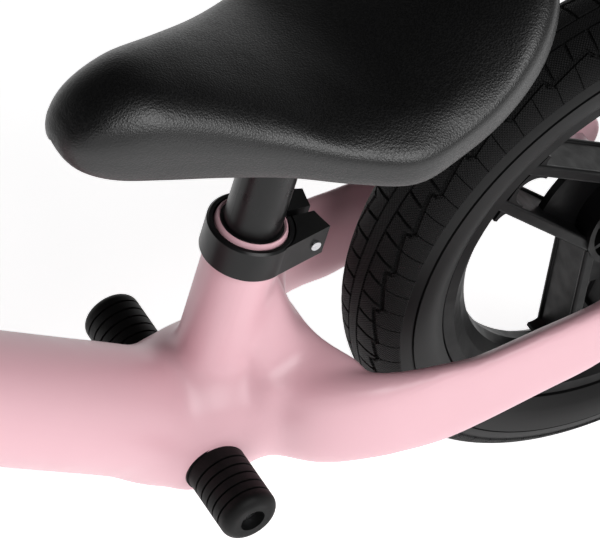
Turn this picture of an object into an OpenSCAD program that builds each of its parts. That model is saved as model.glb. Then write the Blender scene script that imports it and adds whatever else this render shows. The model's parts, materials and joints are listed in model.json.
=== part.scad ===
// Balance bike for toddlers: cast frame and fork, three-spoke moulded wheels on
// ball bearings, air tyres, foot pegs, and a saddle and handlebar that slide for height.
// X points forward, Y to the rider's left, Z up. The origin lies on the ground,
// midway between the two axles. All sizes are in millimetres.

/* [Overall] */
// Distance between the two axles
wheelbase = 605; // [590:5:700]
// Outer radius of the tyres
tyre_r = 150; // [146:1:158]
// Width of the tyres
tyre_w = 50; // [42:1:54]
// Gap between the dropouts, at each axle
axle_gap = 86; // [82:1:110]

/* [Frame] */
// Radius of the main beam
beam_r = 31; // [24:1:34]
// Height along the steering axis at which the main beam meets the head tube
beam_join = 229; // [225:0.5:245]
// Lean of the seat tube, degrees back from upright
seat_lean = 15.6; // [8:0.1:22]
// Outer radius of the seat tube
seat_tube_r = 18; // [16.5:0.1:21]
// Height of the seat tube's top ring above the ground
seat_tube_top = 260.7; // [245:0.1:300]
// Distance from the rear axle forward to the seat tube's top ring
seat_tube_ahead = 203.2; // [198:0.1:225]
// Depth of the seat tube's bore, along its axis
seat_bore_depth = 112; // [90:1:118]
// Radius of the U-shaped crotch that the rear tyre runs in
crotch_r = 47; // [40:1:55]
// Clearance from the rear tyre's front to the crotch
crotch_gap = 30; // [12:1:45]
// Half thickness of each chain stay
stay_half = 8; // [5:0.5:11]
// How far the stays' middle bows out beyond their dropouts
stay_bow = 7.5; // [0:0.5:15]

/* [Steering] */
// Head angle, degrees from level
head_angle = 71; // [67:0.5:75]
// Distance from the steering axis to the front axle
fork_offset = 26; // [10:1:40]
// Distance along the steering axis from the axle's foot to the crown's top
crown_height = 186; // [184:1:215]
// Length of the head tube, without its cups
head_tube_len = 74; // [60:1:110]
// Outer radius of the head tube
head_tube_r = 21; // [20:0.5:25]
// Outer radius of the steerer tube
steerer_r = 12.7; // [12:0.1:14.3]
// Turn to each side at which the steering stop touches, degrees
steer_stop = 60; // [30:1:70]

/* [Handlebar] */
// Radius of the handlebar tube and its post
bar_r = 11.1; // [9.5:0.1:12.5]
// Height of the handlebar along the steering axis, above the axle's foot
bar_height = 430; // [400:1:500]
// Overall width over the grips
bar_width = 380; // [340:1:460]
// Length of post inside the steerer at rest
bar_insert = 92; // [60:1:110]
// Radius of the grips under their ribs
grip_r = 14.2; // [13:0.1:16]

/* [Saddle] */
// Radius of the seatpost
post_r = 13.6; // [12:0.1:14.5]
// Wall of the seatpost
post_wall = 2; // [1.2:0.1:3]
// Length of post inside the seat tube at rest
post_insert = 86; // [60:1:100]
// Half width of the saddle at its widest
saddle_half_w = 68; // [58:1:85]
// Height of the saddle's underside edge above the ground, at its lowest
saddle_z = 325; // [308:1:395]
// Length of the saddle
saddle_len = 248; // [215:1:280]

/* [Pegs] */
// Distance from the rear axle forward to the peg axis
peg_ahead = 244; // [238:1:265]
// Height of the peg axis
peg_z = 141; // [136:1:146]
// Radius of the rubber pegs
peg_r = 14.3; // [11:0.1:18]
// Distance from the bike's middle to each peg's end
peg_reach = 70.6; // [60:0.1:90]
// Radius of the hole in each peg's end
peg_hole_r = 6.25; // [5:0.05:8]

/* [Wheels] */
// Radius of the rim's outer flange edge
rim_r = 112; // [106:1:116]
// Half width of the rim over its flanges
rim_half_w = 19; // [16:0.5:20]
// Number of double-walled spokes
spoke_count = 3; // [3:1:4]
// Direction of the first spoke, degrees up from forward
spoke_turn = 43.5; // [0:0.5:90]
// Offset of each spoke wall from the hub's middle
spoke_offset = 22.5; // [16:0.5:26]
// Angle by which each spoke wall leans in towards its partner
spoke_taper = 6.65; // [2:0.05:9]
// Half width of the spoke walls, across the wheel
spoke_half_w = 13; // [9:0.5:14]
// Radius of the hub's outer barrel
hub_r = 27; // [24:0.5:30]

/* [Bearings] */
// Radius of the axles
axle_r = 5; // [4:0.1:6]
// Outer radius of the wheel bearings
wheel_bearing_r = 13; // [11.5:0.5:14.5]
// Width of the wheel bearings
wheel_bearing_w = 8; // [7:0.5:10]
// Outer radius of the headset bearings
head_bearing_r = 19; // [18.5:0.1:20]
// Width of the headset bearings
head_bearing_w = 7; // [6:0.5:9]

/* [Fits] */
// Radial clearance of parts that turn or slide in each other
run_fit = 0.06; // [0.02:0.01:0.1]
// Clearance of parts that seat on each other and do not move
seat_fit = 0.03; // [0:0.01:0.1]
// Side clearance beside parts that move past each other
side_gap = 0.5; // [0.3:0.1:1.5]

/* [Hidden] */
$fn = 64;

pink = [0.93, 0.68, 0.73];
satin_black = [0.09, 0.09, 0.1];
nylon_black = [0.12, 0.12, 0.13];
rubber_black = [0.07, 0.07, 0.07];
steel = [0.72, 0.73, 0.75];
eps = 0.01;

rear_x = -wheelbase / 2;
front_x = wheelbase / 2;
seat_tube_x = rear_x + seat_tube_ahead;
peg_x = rear_x + peg_ahead;
hub_z = tyre_r;
half_gap = axle_gap / 2;
head_tilt = 90 - head_angle;

// Foot of the front axle on the steering axis: the origin of the steering frame,
// whose Z runs up the steering axis and whose X points ahead of it.
steer_x = front_x - fork_offset * cos(head_tilt);
steer_z = hub_z - fork_offset * sin(head_tilt);

// Stack of parts along the steering axis
race_t = 2;
cup_lip = 3;
lower_bearing_w0 = crown_height + race_t;
lower_cup_w0 = lower_bearing_w0 + 0.8;
head_tube_w0 = lower_bearing_w0 + head_bearing_w + cup_lip;
head_tube_w1 = head_tube_w0 + head_tube_len;
upper_bearing_w0 = head_tube_w1 + cup_lip;
cover_w0 = upper_bearing_w0 + head_bearing_w;
cover_h = 6;
clamp_w0 = cover_w0 + cover_h;
clamp_h = 20;
steerer_top = clamp_w0 + clamp_h - 1;
cup_r = head_bearing_r + 2.6;
lug_half = 9;
lug_clear = 1;

// Places along the wheel axles
hub_half = 22;
dropout_t = 12;
washer_t = 1.6;
washer_r = 10.5;
nut_r = 9.2;
nut_h = 8;
bearing_in = hub_half - wheel_bearing_w;

/* ---------- functions ---------- */

function unit(v) = v / norm(v);
function signed_pow(v, e) = sign(v) * pow(abs(v), e);

// Point on a smooth curve through p1 and p2, with p0 and p3 beyond them
function curve_point(p0, p1, p2, p3, t) =
  0.5 * (2 * p1 + (p2 - p0) * t + (2 * p0 - 5 * p1 + 4 * p2 - p3) * t * t
    + (3 * p1 - p0 - 3 * p2 + p3) * t * t * t);

// Smooth curve through a list of stations, each a list of numbers
function smooth(p, steps) = [
  for (i = [0 : len(p) - 2])
    for (j = [0 : steps - 1])
      curve_point(p[max(i - 1, 0)], p[i], p[i + 1], p[min(i + 2, len(p) - 1)], j / steps),
  p[len(p) - 1]
];

// Rounded section: half sizes a and b, exponent e (2 is an ellipse, more is squarer)
function section(a, b, e, sides) = [
  for (k = [0 : sides - 1])
    let (t = 360 * k / sides)
      [a * signed_pow(cos(t), 2 / e), b * signed_pow(sin(t), 2 / e)]
];

// Direction of a path at its point i
function tangent(p, i) = unit(p[min(i + 1, len(p) - 1)] - p[max(i - 1, 0)]);

// Section points carried to a place c, with its own side and up directions
function placed(c, side, up, pts) = [for (q = pts) c + side * q[0] + up * q[1]];

/* ---------- shared shapes ---------- */

// Solid skin over a list of rings that have the same number of points
module loft(rings) {
  n = len(rings[0]);
  m = len(rings);
  polyhedron(
    points = [for (r = rings) each r],
    faces = [
      [for (j = [n - 1 : -1 : 0]) j],
      for (i = [0 : m - 2])
        for (j = [0 : n - 1])
          each [
            [i * n + (j + 1) % n, (i + 1) * n + j, i * n + j],
            [(i + 1) * n + (j + 1) % n, (i + 1) * n + j, i * n + (j + 1) % n]
          ],
      [for (j = [0 : n - 1]) (m - 1) * n + j]
    ],
    convexity = 4
  );
}

module tube(ro, ri, h) {
  rotate_extrude() translate([ri, 0]) square([ro - ri, h]);
}

// Cylinder along Y, from y0 to y1
module y_rod(r, y0, y1) {
  translate([0, y1, 0]) rotate([90, 0, 0]) cylinder(r = r, h = y1 - y0);
}

module y_tube(ro, ri, y0, y1) {
  translate([0, y1, 0]) rotate([90, 0, 0]) tube(ro, ri, y1 - y0);
}

module both_sides() {
  children();
  mirror([0, 1, 0]) children();
}

// Steering frame: Z up the steering axis, X ahead of it
module on_steering() {
  translate([steer_x, 0, steer_z]) rotate([0, -head_tilt, 0]) children();
}

// Seat frame: origin at the seat tube's top ring, Z up along the tube
module on_seat() {
  translate([seat_tube_x, 0, seat_tube_top]) rotate([0, -seat_lean, 0]) children();
}

module on_pegs() {
  translate([peg_x, 0, peg_z]) children();
}

// Ball bearing about Z, from z = 0: outer ring with shields and balls
module bearing_outer(ro, ri, w, ball_r, balls) {
  pitch = (ro + ri) / 2;
  land = (ro - ri) * 0.25;
  difference() {
    union() {
      tube(ro, ro - land, w);
      translate([0, 0, 0.4]) tube(ro - land / 2, ri + land + 0.3, 0.5);
      translate([0, 0, w - 0.9]) tube(ro - land / 2, ri + land + 0.3, 0.5);
    }
    translate([0, 0, w / 2]) rotate_extrude() translate([pitch, 0]) circle(r = ball_r + run_fit);
  }
  for (k = [0 : balls - 1])
    rotate([0, 0, 360 * k / balls]) translate([pitch, 0, w / 2]) sphere(r = ball_r);
}

module bearing_inner(ro, ri, w, ball_r) {
  pitch = (ro + ri) / 2;
  land = (ro - ri) * 0.25;
  difference() {
    tube(ri + land, ri, w);
    translate([0, 0, w / 2]) rotate_extrude() translate([pitch, 0]) circle(r = ball_r + run_fit);
  }
}

/* ---------- frame ---------- */

crotch_x = rear_x + tyre_r + crotch_gap;
beam_run = steer_x - beam_join * sin(head_tilt) - peg_x;
beam_climb = steer_z + beam_join * cos(head_tilt) - peg_z + 1;
stay_y = crotch_r + stay_half;
stay_end_y = half_gap + dropout_t / 2;
boss_r = 17;

// Station of the beam at a share of its run from the pegs to the head tube.
// The beam sags a little below a straight line.
beam_sag = 2.4;
function beam_at(share, half_w, half_h) = [
  peg_x + share * beam_run,
  peg_z - 1 + share * beam_climb - 4 * beam_sag * share * (1 - share),
  half_w, half_h, 2
];

// Stations of the cast body: x, z, half width, half height, roundness
beam_stations = [
  beam_at(1, head_tube_r - 1.5, beam_r - 12),
  beam_at(0.88, beam_r - 8, beam_r - 6),
  beam_at(0.7, beam_r - 2, beam_r - 1),
  beam_at(0.5, beam_r, beam_r),
  beam_at(0.34, beam_r, beam_r),
  beam_at(0.16, beam_r, beam_r),
  [peg_x + 4, peg_z + 3, beam_r, beam_r + 0.5, 2],
  [peg_x - 24, peg_z + 4.5, beam_r + 4, beam_r, 2.2],
  [peg_x - 46, peg_z + 10.5, beam_r + 14, beam_r - 0.5, 2.5],
  [crotch_x + 4, peg_z + 10, stay_y + 1, beam_r - 1, 2.9],
  [crotch_x - 12, peg_z + 8.5, stay_y + 5, beam_r - 4.5, 3]
];

module cast_body() {
  path = smooth(beam_stations, 4);
  loft([
    for (i = [0 : len(path) - 1])
      let (
        s = path[i],
        t = tangent([for (q = path) [q[0], 0, q[1]]], i),
        up = [-t[2], 0, t[0]] * (t[0] < 0 ? -1 : 1)
      )
        placed([s[0], 0, s[1]], [0, 1, 0], up, section(s[2], s[3], s[4], 32))
  ]);
}

// Stations of the left stay: x, y, z, half thickness, half height, roundness,
// and how far the top face's outer edge stands above its middle
stay_stations = [
  [crotch_x + 34, stay_y - 35, peg_z + 5, stay_half + 2, beam_r - 7, 2.2, 0],
  [crotch_x + 12, stay_y - 16, peg_z + 8, stay_half + 5, beam_r - 2.5, 2.7, 0],
  [crotch_x - 10, stay_y - 3.5, peg_z + 9, stay_half + 3, beam_r - 4, 3, 2],
  [crotch_x - 28, stay_y + 0.5, peg_z + 5.5, stay_half + 1, beam_r - 5, 3.2, 3],
  [crotch_x - 46, stay_end_y + stay_bow, peg_z + 1, stay_half, beam_r - 7, 3.6, 5],
  [crotch_x - 66, stay_end_y + stay_bow + 1, peg_z - 1, stay_half, beam_r - 10.5, 3.6, 6],
  [crotch_x - 98, stay_end_y + stay_bow + 1, peg_z - 0.5, stay_half, beam_r - 12, 3.6, 5.5],
  [rear_x + 46, stay_end_y + stay_bow, peg_z - 0.5, stay_half - 0.5, beam_r - 13, 3.6, 4],
  [rear_x + 22, stay_end_y + stay_bow / 2, hub_z - 4, stay_half - 1.5, beam_r - 16, 3.6, 1.5],
  [rear_x + 4, stay_end_y, hub_z, dropout_t / 2, beam_r - 19, 3.6, 0]
];

// Section of a stay: its top face (at negative second value) slopes down towards the tyre
function stay_section(a, b, e, rise) = [
  for (q = section(a, b + rise / 2, e, 24))
    [q[0], q[1] - rise / 2 - rise * max(0, -q[1] / b) * -q[0] / a]
];

module left_stay() {
  path = smooth(stay_stations, 4);
  loft([
    for (i = [0 : len(path) - 1])
      let (s = path[i], t = tangent([for (q = path) [q[0], q[1], 0]], i))
        placed([s[0], s[1], s[2]], [-t[1], t[0], 0], [0, 0, -1], stay_section(s[3], s[4], s[5], s[6]))
  ]);
}

// Seat tube with a cast fillet that flares into the body
flare_start = 78;
flare_r = 24;
flare_turn = 54;
module seat_tube() {
  on_seat() rotate([180, 0, 0]) {
    cylinder(r = seat_tube_r, h = seat_bore_depth);
    translate([0, 0, flare_start]) rotate_extrude() polygon([
      [seat_tube_r - 2, 0],
      for (k = [0 : 6])
        let (t = flare_turn * k / 6)
          [seat_tube_r + flare_r * (1 - cos(t)), flare_r * sin(t)],
      [seat_tube_r - 2, flare_r * sin(flare_turn)]
    ]);
  }
}

// Web that carries the back of the seat tube down to the crotch
module seat_web() {
  web_r = 9;
  hull() {
    on_seat() translate([-6, 0, -86]) cylinder(r = web_r, h = 58, $fn = 32);
    translate([crotch_x + 14, 0, peg_z]) cylinder(r = web_r, h = 44, $fn = 32);
    translate([crotch_x + 14, 0, peg_z + 44]) sphere(r = web_r, $fn = 32);
  }
}

module seat_collar_place() {
  on_seat() translate([0, 0, -collar_drop - collar_h]) children();
}

module dropout_boss() {
  translate([rear_x, 0, hub_z]) y_rod(boss_r, half_gap, half_gap + dropout_t);
}

// Soft raised ring round each peg's root
boss_out = beam_r + 0.6;
boss_flat_r = peg_r + 2.4;
boss_round = 4.6;
boss_depth = 14;
module peg_boss() {
  on_pegs() rotate([-90, 0, 0]) rotate_extrude() {
    square([boss_flat_r, boss_out]);
    translate([0, boss_out - boss_depth]) square([boss_flat_r + boss_round, boss_depth - boss_round]);
    translate([boss_flat_r, boss_out - boss_round]) intersection() {
      circle(r = boss_round);
      square(boss_round);
    }
  }
}

module frame() {
  color(pink) difference() {
    union() {
      difference() {
        union() {
          cast_body();
          both_sides() left_stay();
          seat_web();
        }
        // U-shaped room for the rear tyre
        translate([crotch_x - crotch_r, 0, 0]) cylinder(r = crotch_r, h = 400);
        translate([crotch_x - crotch_r - 34, -crotch_r, 0]) cube([34, 2 * crotch_r, 400]);
      }
      seat_tube();
      both_sides() dropout_boss();
      both_sides() peg_boss();
      on_steering() translate([0, 0, head_tube_w0]) cylinder(r = head_tube_r, h = head_tube_len);
      on_steering() for (w = [head_tube_w0, head_tube_w1 - 8])
        translate([0, 0, w]) cylinder(r = head_tube_r + 1.5, h = 8);
    }
    // bore of the seat tube
    on_seat() translate([0, 0, -seat_bore_depth]) cylinder(r = sleeve_r + seat_fit, h = seat_bore_depth + 5);
    // clamping slot at the back of the seat tube
    on_seat() translate([-seat_tube_r - 8, -slot_w / 2, -slot_depth])
      cube([seat_tube_r + 8, slot_w, slot_depth + 5]);
    // room under the head tube for the lower cup
    on_steering() translate([0, 0, crown_height]) cylinder(r = cup_r + side_gap, h = head_tube_w0 - crown_height);
    // bore of the head tube, with a seat for each cup
    on_steering() translate([0, 0, head_tube_w0 - 30]) cylinder(r = steerer_r + 2.4, h = head_tube_len + 60);
    on_steering() translate([0, 0, head_tube_w0 - eps]) cylinder(r = cup_skirt_r + seat_fit, h = cup_skirt);
    on_steering() translate([0, 0, head_tube_w1 - cup_skirt]) cylinder(r = cup_skirt_r + seat_fit, h = cup_skirt + eps);
    // flat seats for the washers and pegs, axle holes and peg insert holes
    both_sides() translate([rear_x, 0, hub_z]) y_rod(washer_r + 0.8, half_gap + dropout_t, half_gap + 30);
    translate([rear_x, 0, hub_z]) y_rod(axle_r + run_fit, -half_gap - 20, half_gap + 20);
    both_sides() on_pegs() y_rod(boss_flat_r, boss_out, stay_y);
    both_sides() on_pegs() y_rod(insert_r + seat_fit, insert_y0, boss_out + 5);
  }
}

slot_w = 3;
slot_depth = 30;
cup_skirt = 10;
cup_skirt_r = steerer_r + 4.6;

/* ---------- seat clamp ---------- */

collar_drop = 1.8;
collar_h = 17;
collar_wall = 2.8;
collar_chamfer = 1;
ear_back = 35;
ear_half = 12.7;
collar_gap = 3.4;
clamp_bolt_r = 2.5;
clamp_bolt_x = -28;
clamp_head_r = 4.3;
clamp_head_h = 5;
bolt_stands_out = 3;

// Outline of a split collar about a tube, with two ears pointing to -X
module collar_outline(ri, wall, back, half) {
  difference() {
    union() {
      circle(r = ri + wall);
      polygon([
        [-4, ri + wall - 0.5], [-back, half], [-back + 1.5, half - 6.5], [-back + 2.5, 0],
        [-back + 1.5, 6.5 - half], [-back, -half], [-4, 0.5 - ri - wall]
      ]);
    }
    circle(r = ri);
    translate([-back - 5, -collar_gap / 2]) square([back + 5, collar_gap]);
  }
}

module split_collar(ri, wall, back, half, h, bolt_x) {
  difference() {
    linear_extrude(h) collar_outline(ri, wall, back, half);
    // chamfered top edge
    translate([0, 0, h - collar_chamfer]) rotate_extrude() polygon([
      [ri + wall - collar_chamfer, collar_chamfer + eps],
      [ri + wall + eps, 0],
      [ri + wall + eps, collar_chamfer + eps]
    ]);
    translate([bolt_x, 0, h / 2]) y_rod(clamp_bolt_r + run_fit, -60, 60);
    // pocket for the bolt's head, on the right side
    translate([bolt_x, 0, h / 2]) y_rod(clamp_head_r + 0.2, -60, -half + 3);
  }
}

// Socket-head clamp bolt, its tip flush with the left ear
module clamp_bolt(tip_y, half) {
  difference() {
    union() {
      y_rod(clamp_bolt_r, -half + 3 - eps, tip_y);
      y_rod(clamp_head_r, -half + 3 - clamp_head_h, -half + 3);
    }
    translate([0, -half + 3 - clamp_head_h + 3, 0]) rotate([90, 0, 0]) cylinder(r = 2.3, h = 5, $fn = 6);
  }
}

module seat_collar() {
  color(satin_black) seat_collar_place()
    split_collar(seat_tube_r + seat_fit, collar_wall, ear_back, ear_half, collar_h, clamp_bolt_x);
}

module seat_collar_bolt() {
  color(steel) seat_collar_place() translate([clamp_bolt_x, 0, collar_h / 2])
    clamp_bolt(ear_half + bolt_stands_out, ear_half);
}

/* ---------- seatpost ---------- */

sleeve_wall = 1.4;
sleeve_r = post_r + run_fit + sleeve_wall;
sleeve_len = 60;
plate_t = 4;
plate_top = saddle_z + 3;
plate_s = (plate_top - plate_t - seat_tube_top) / cos(seat_lean);
plate_x = seat_tube_x - (plate_top - seat_tube_top) * tan(seat_lean);
bolt_dx = 20;
bolt_dy = 14;

module seatpost_sleeve() {
  color(nylon_black) on_seat() translate([0, 0, -sleeve_len - 0.8]) difference() {
    tube(sleeve_r, post_r + run_fit, sleeve_len);
    translate([-sleeve_r - 5, -1, -5]) cube([sleeve_r + 5, 2, sleeve_len + 10]);
  }
}

module at_plate() {
  translate([plate_x, 0, plate_top]) children();
}

module plate_holes() {
  for (sx = [-1, 1])
    for (sy = [-1, 1])
      translate([sx * bolt_dx, sy * bolt_dy, 0]) children();
}

module seatpost() {
  color(satin_black) difference() {
    union() {
      difference() {
        on_seat() translate([0, 0, -post_insert]) cylinder(r = post_r, h = post_insert + plate_s + 8);
        translate([-300, -100, plate_top - plate_t / 2]) cube([600, 200, 100]);
      }
      // welded plate with rounded corners, under the saddle
      at_plate() translate([0, 0, -plate_t]) linear_extrude(plate_t) difference() {
        union() {
          square([2 * bolt_dx + 18, 2 * bolt_dy + 6], center = true);
          square([2 * bolt_dx + 6, 2 * bolt_dy + 18], center = true);
          plate_holes() circle(r = 9 - 3);
        }
        plate_holes() circle(r = 3.1);
      }
    }
    on_seat() translate([0, 0, -post_insert - 1])
      cylinder(r = post_r - post_wall, h = post_insert + plate_s - 4);
  }
}

module seatpost_plug() {
  color(nylon_black) on_seat() translate([0, 0, -post_insert]) rotate([180, 0, 0]) {
    cylinder(r = post_r - 0.4, h = 2);
    translate([0, 0, -8]) tube(post_r - post_wall - seat_fit, post_r - post_wall - 2, 8.2);
  }
}

/* ---------- saddle ---------- */

saddle_nose_x = plate_x + 116.3;
skirt_in = 7;
base_t = 5;
base_fit = 0.3;

// Outline from nose to tail: share of length, share of half width,
// rise of the top and of the lower edge above the saddle's lowest edge
saddle_stations = [
  [0.00, 0.10, 53, 44], [0.03, 0.27, 62, 37], [0.08, 0.36, 69, 31], [0.16, 0.445, 70.5, 25],
  [0.26, 0.54, 62, 18.5], [0.37, 0.675, 49.5, 12], [0.48, 0.86, 37.5, 4.5], [0.58, 1.00, 33, 0],
  [0.68, 0.96, 33.5, 1.5], [0.78, 0.875, 37.5, 5.5], [0.88, 0.715, 46, 13], [0.95, 0.50, 50, 23.5],
  [1.00, 0.06, 44, 37]
];

// Place along the saddle (0 nose, 1 tail) as x, half width, top z, edge z
saddle_path = [
  for (s = smooth(saddle_stations, 2))
    [saddle_nose_x - s[0] * saddle_len, s[1] * saddle_half_w, saddle_z + s[2], saddle_z + s[3]]
];

// Height of the roof of the recess that the base sits in
function recess_roof(top, edge) = edge + min(base_t + 3, 0.2 * (top - edge) + 1.5);

// Half ring over the top, then the recess under it
function pad_ring(x, w, top, edge) =
  let (
    n = 16,
    waist = edge + 0.4 * (top - edge),
    in = max(w - skirt_in, w * 0.3),
    roof = recess_roof(top, edge)
  ) [
    for (k = [0 : n])
      let (t = 180 * k / n)
        [x, w * signed_pow(cos(t), 0.8), waist + (top - waist) * pow(sin(t), 0.8)],
    [x, -w * 0.98, (waist + edge) / 2],
    [x, -max(w - 2.5, w * 0.85), edge],
    [x, -in, edge + 0.5],
    [x, -in, roof],
    [x, in, roof],
    [x, in, edge + 0.5],
    [x, max(w - 2.5, w * 0.85), edge],
    [x, w * 0.98, (waist + edge) / 2]
  ];

module saddle_pad() {
  color(satin_black) loft([for (s = saddle_path) pad_ring(s[0], s[1], s[2], s[3])]);
}

// Ring of the base from height z0 up to just under the recess's roof
function base_ring(x, w, z0, roof) =
  let (in = w - skirt_in - base_fit, z1 = roof - base_fit) [
    [x, in, z0 + 1], [x, in, z1], [x, -in, z1], [x, -in, z0 + 1], [x, -in + 2, z0], [x, in - 2, z0]
  ];

module base_shell(deep) {
  loft([
    for (s = saddle_path)
      if (s[1] > saddle_half_w * 0.4)
        base_ring(s[0], s[1], deep ? plate_top - 1 : s[3] + 1.5, recess_roof(s[2], s[3]))
  ]);
}

module plate_block(grow, h) {
  translate([-bolt_dx - grow, -bolt_dy - grow, 0]) cube([2 * (bolt_dx + grow), 2 * (bolt_dy + grow), h]);
}

module saddle_base() {
  color(nylon_black) difference() {
    union() {
      base_shell(false);
      // solid block over the seatpost's plate
      intersection() {
        base_shell(true);
        at_plate() plate_block(12, 60);
      }
    }
    at_plate() plate_holes() translate([0, 0, -5]) cylinder(r = 2.6, h = 60);
    // pocket that the plate sits up into
    at_plate() translate([0, 0, -30]) plate_block(9 + base_fit, 30);
  }
}

module saddle_bolts() {
  color(steel) at_plate() plate_holes() {
    difference() {
      translate([0, 0, -plate_t - 4.3]) cylinder(r = 4.6, h = 4);
      translate([0, 0, -plate_t - 5]) cylinder(r = 2.2, h = 3.4, $fn = 6);
    }
    translate([0, 0, -plate_t - 1]) cylinder(r = 2.55, h = plate_t + 5.5);
  }
}

/* ---------- pegs ---------- */

insert_r = 6;
insert_y0 = 15;
insert_len = boss_out - insert_y0 - 2;
peg_y0 = boss_out + 0.2;
core_r = 9;
bolt_r = 4;
bolt_head_r = peg_hole_r - 0.3;
bolt_head_h = 7;
core_end = peg_reach - 13;
groove_pitch = 5.2;

// Rubber sleeve: rounded end, narrow grooves round it and a hole to the bolt
module peg_sleeve() {
  round_r = 5;
  on_pegs() rotate([-90, 0, 0]) difference() {
    rotate_extrude() difference() {
      union() {
        translate([0, peg_y0]) square([peg_r, peg_reach - peg_y0 - round_r]);
        translate([0, peg_y0]) square([peg_r - round_r, peg_reach - peg_y0]);
        translate([peg_r - round_r, peg_reach - round_r]) circle(r = round_r);
        translate([0, peg_y0]) square([peg_r + 0.7, 3]);
      }
      for (k = [0 : 4])
        translate([peg_r - 1.5, peg_reach - 8.2 - k * groove_pitch]) square([3, 1.1]);
    }
    translate([0, 0, peg_y0 - 1]) cylinder(r = core_r + seat_fit, h = core_end - peg_y0 + 1);
    translate([0, 0, core_end - 1]) cylinder(r = peg_hole_r, h = 20);
  }
}

module left_peg() {
  color(rubber_black) peg_sleeve();
}

module right_peg() {
  color(rubber_black) mirror([0, 1, 0]) peg_sleeve();
}

module peg_cores() {
  color(steel) both_sides() on_pegs() y_tube(core_r, bolt_r + 0.2, peg_y0, core_end);
}

module peg_bolts() {
  color(steel) both_sides() on_pegs() difference() {
    union() {
      y_rod(bolt_r, insert_y0 + 3, core_end + 0.5);
      y_rod(bolt_head_r, core_end, core_end + bolt_head_h);
    }
    translate([0, core_end + bolt_head_h + 1, 0]) rotate([90, 0, 0]) cylinder(r = 3.3, h = 5, $fn = 6);
  }
}

module peg_inserts() {
  color(steel) both_sides() on_pegs() y_tube(insert_r, bolt_r + seat_fit, insert_y0, insert_y0 + insert_len);
}

/* ---------- headset ---------- */

// Cup with a pressed skirt: mouth down at z = 0, skirt up
module headset_cup() {
  deep = head_bearing_w + cup_lip - 0.8;
  difference() {
    union() {
      cylinder(r = cup_r, h = deep);
      tube(cup_skirt_r, cup_skirt_r - 2, deep + cup_skirt - 0.5);
    }
    translate([0, 0, -1]) cylinder(r = head_bearing_r + seat_fit, h = deep - cup_lip + 1);
    translate([0, 0, -1]) cylinder(r = cup_skirt_r - 2, h = 40);
  }
}

// The lower cup has a slot round its front that the fork's stop lug swings in
module lower_headset_cup() {
  slot_half = steer_stop + lug_half + lug_clear;
  color(satin_black) on_steering() translate([0, 0, lower_cup_w0]) difference() {
    headset_cup();
    rotate([0, 0, -slot_half]) rotate_extrude(angle = 2 * slot_half)
      translate([head_bearing_r - 1, -1]) square([cup_r, 5.5]);
  }
}

module upper_headset_cup() {
  color(satin_black) on_steering() translate([0, 0, head_tube_w1 + cup_lip + head_bearing_w - 0.8])
    rotate([180, 0, 0]) headset_cup();
}

head_bearing_in = steerer_r + 0.9;
module headset_outer_races() {
  color(steel) on_steering() for (w = [lower_bearing_w0, upper_bearing_w0])
    translate([0, 0, w + 0.02]) bearing_outer(head_bearing_r, head_bearing_in, head_bearing_w - 0.04, 1.5, 16);
}

module headset_inner_races() {
  color(steel) on_steering() for (w = [lower_bearing_w0, upper_bearing_w0])
    translate([0, 0, w + 0.02]) bearing_inner(head_bearing_r, head_bearing_in, head_bearing_w - 0.04, 1.5);
}

module crown_race() {
  color(steel) on_steering() translate([0, 0, crown_height]) {
    tube(head_bearing_in + 1.2, steerer_r + seat_fit, race_t);
    tube(head_bearing_in - seat_fit, steerer_r + seat_fit, race_t + head_bearing_w - 1);
  }
}

// Domed cover that keeps dirt out of the upper bearing
module headset_cover() {
  color(satin_black) on_steering() translate([0, 0, cover_w0]) rotate_extrude() polygon([
    [steerer_r + seat_fit, 0], [head_bearing_in + 1.2, 0], [head_bearing_in + 1.2, side_gap],
    [cup_r, side_gap], [cup_r, 2], [cup_r - 2, 4.5], [steerer_r + 5, cover_h], [steerer_r + seat_fit, cover_h]
  ]);
}

/* ---------- fork ---------- */

fork_end_y = half_gap + dropout_t / 2;
crown_half = 30;

// Stations of the left leg, in the steering frame: x, y, z, half width, half depth
leg_stations = [
  [2, 14, crown_height - 17, 16, 17],
  [3, 32, crown_height - 22, 13, 17],
  [5, fork_end_y - 4, crown_height - 36, 9.5, 17],
  [8, fork_end_y + 1, crown_height - 60, 7.5, 16],
  [14, fork_end_y + 1, crown_height - 100, 6.5, 14],
  [20, fork_end_y, crown_height - 140, 6, 12.5],
  [fork_offset - 1, fork_end_y, 12, 6, 12],
  [fork_offset, fork_end_y, 0, dropout_t / 2, 12]
];

module left_leg() {
  path = smooth(leg_stations, 4);
  loft([
    for (i = [0 : len(path) - 1])
      let (
        s = path[i],
        t = tangent([for (q = path) [0, q[1], q[2]]], i)
      )
        placed([s[0], s[1], s[2]], [0, t[2], -t[1]], [1, 0, 0], section(s[3], s[4], 2.8, 24))
  ]);
}

module fork() {
  color(pink) on_steering() difference() {
    union() {
      both_sides() left_leg();
      // round crown top, with the steering stop's lug at its front
      translate([0, 0, crown_height - 30]) cylinder(r = cup_r + 1, h = 30 - 2);
      translate([0, 0, crown_height - 2]) cylinder(r1 = cup_r + 1, r2 = cup_r - 1, h = 2);
      intersection() {
        translate([0, 0, crown_height - 1]) tube(cup_r - 0.3, head_bearing_r + 0.4, 5.2);
        rotate([0, 0, -lug_half]) rotate_extrude(angle = 2 * lug_half) square([60, 400]);
      }
      both_sides() translate([fork_offset, 0, 0]) y_rod(boss_r - 2, half_gap, half_gap + dropout_t);
    }
    translate([0, 0, crown_height - 29]) cylinder(r = steerer_r + seat_fit, h = 60);
    translate([fork_offset, 0, 0]) y_rod(axle_r + run_fit, -half_gap - 30, half_gap + 30);
    // flat inner faces at the dropouts, and an arch above the tyre
    translate([fork_offset, 0, 0]) y_rod(boss_r + 12, -half_gap, half_gap);
  }
}

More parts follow.
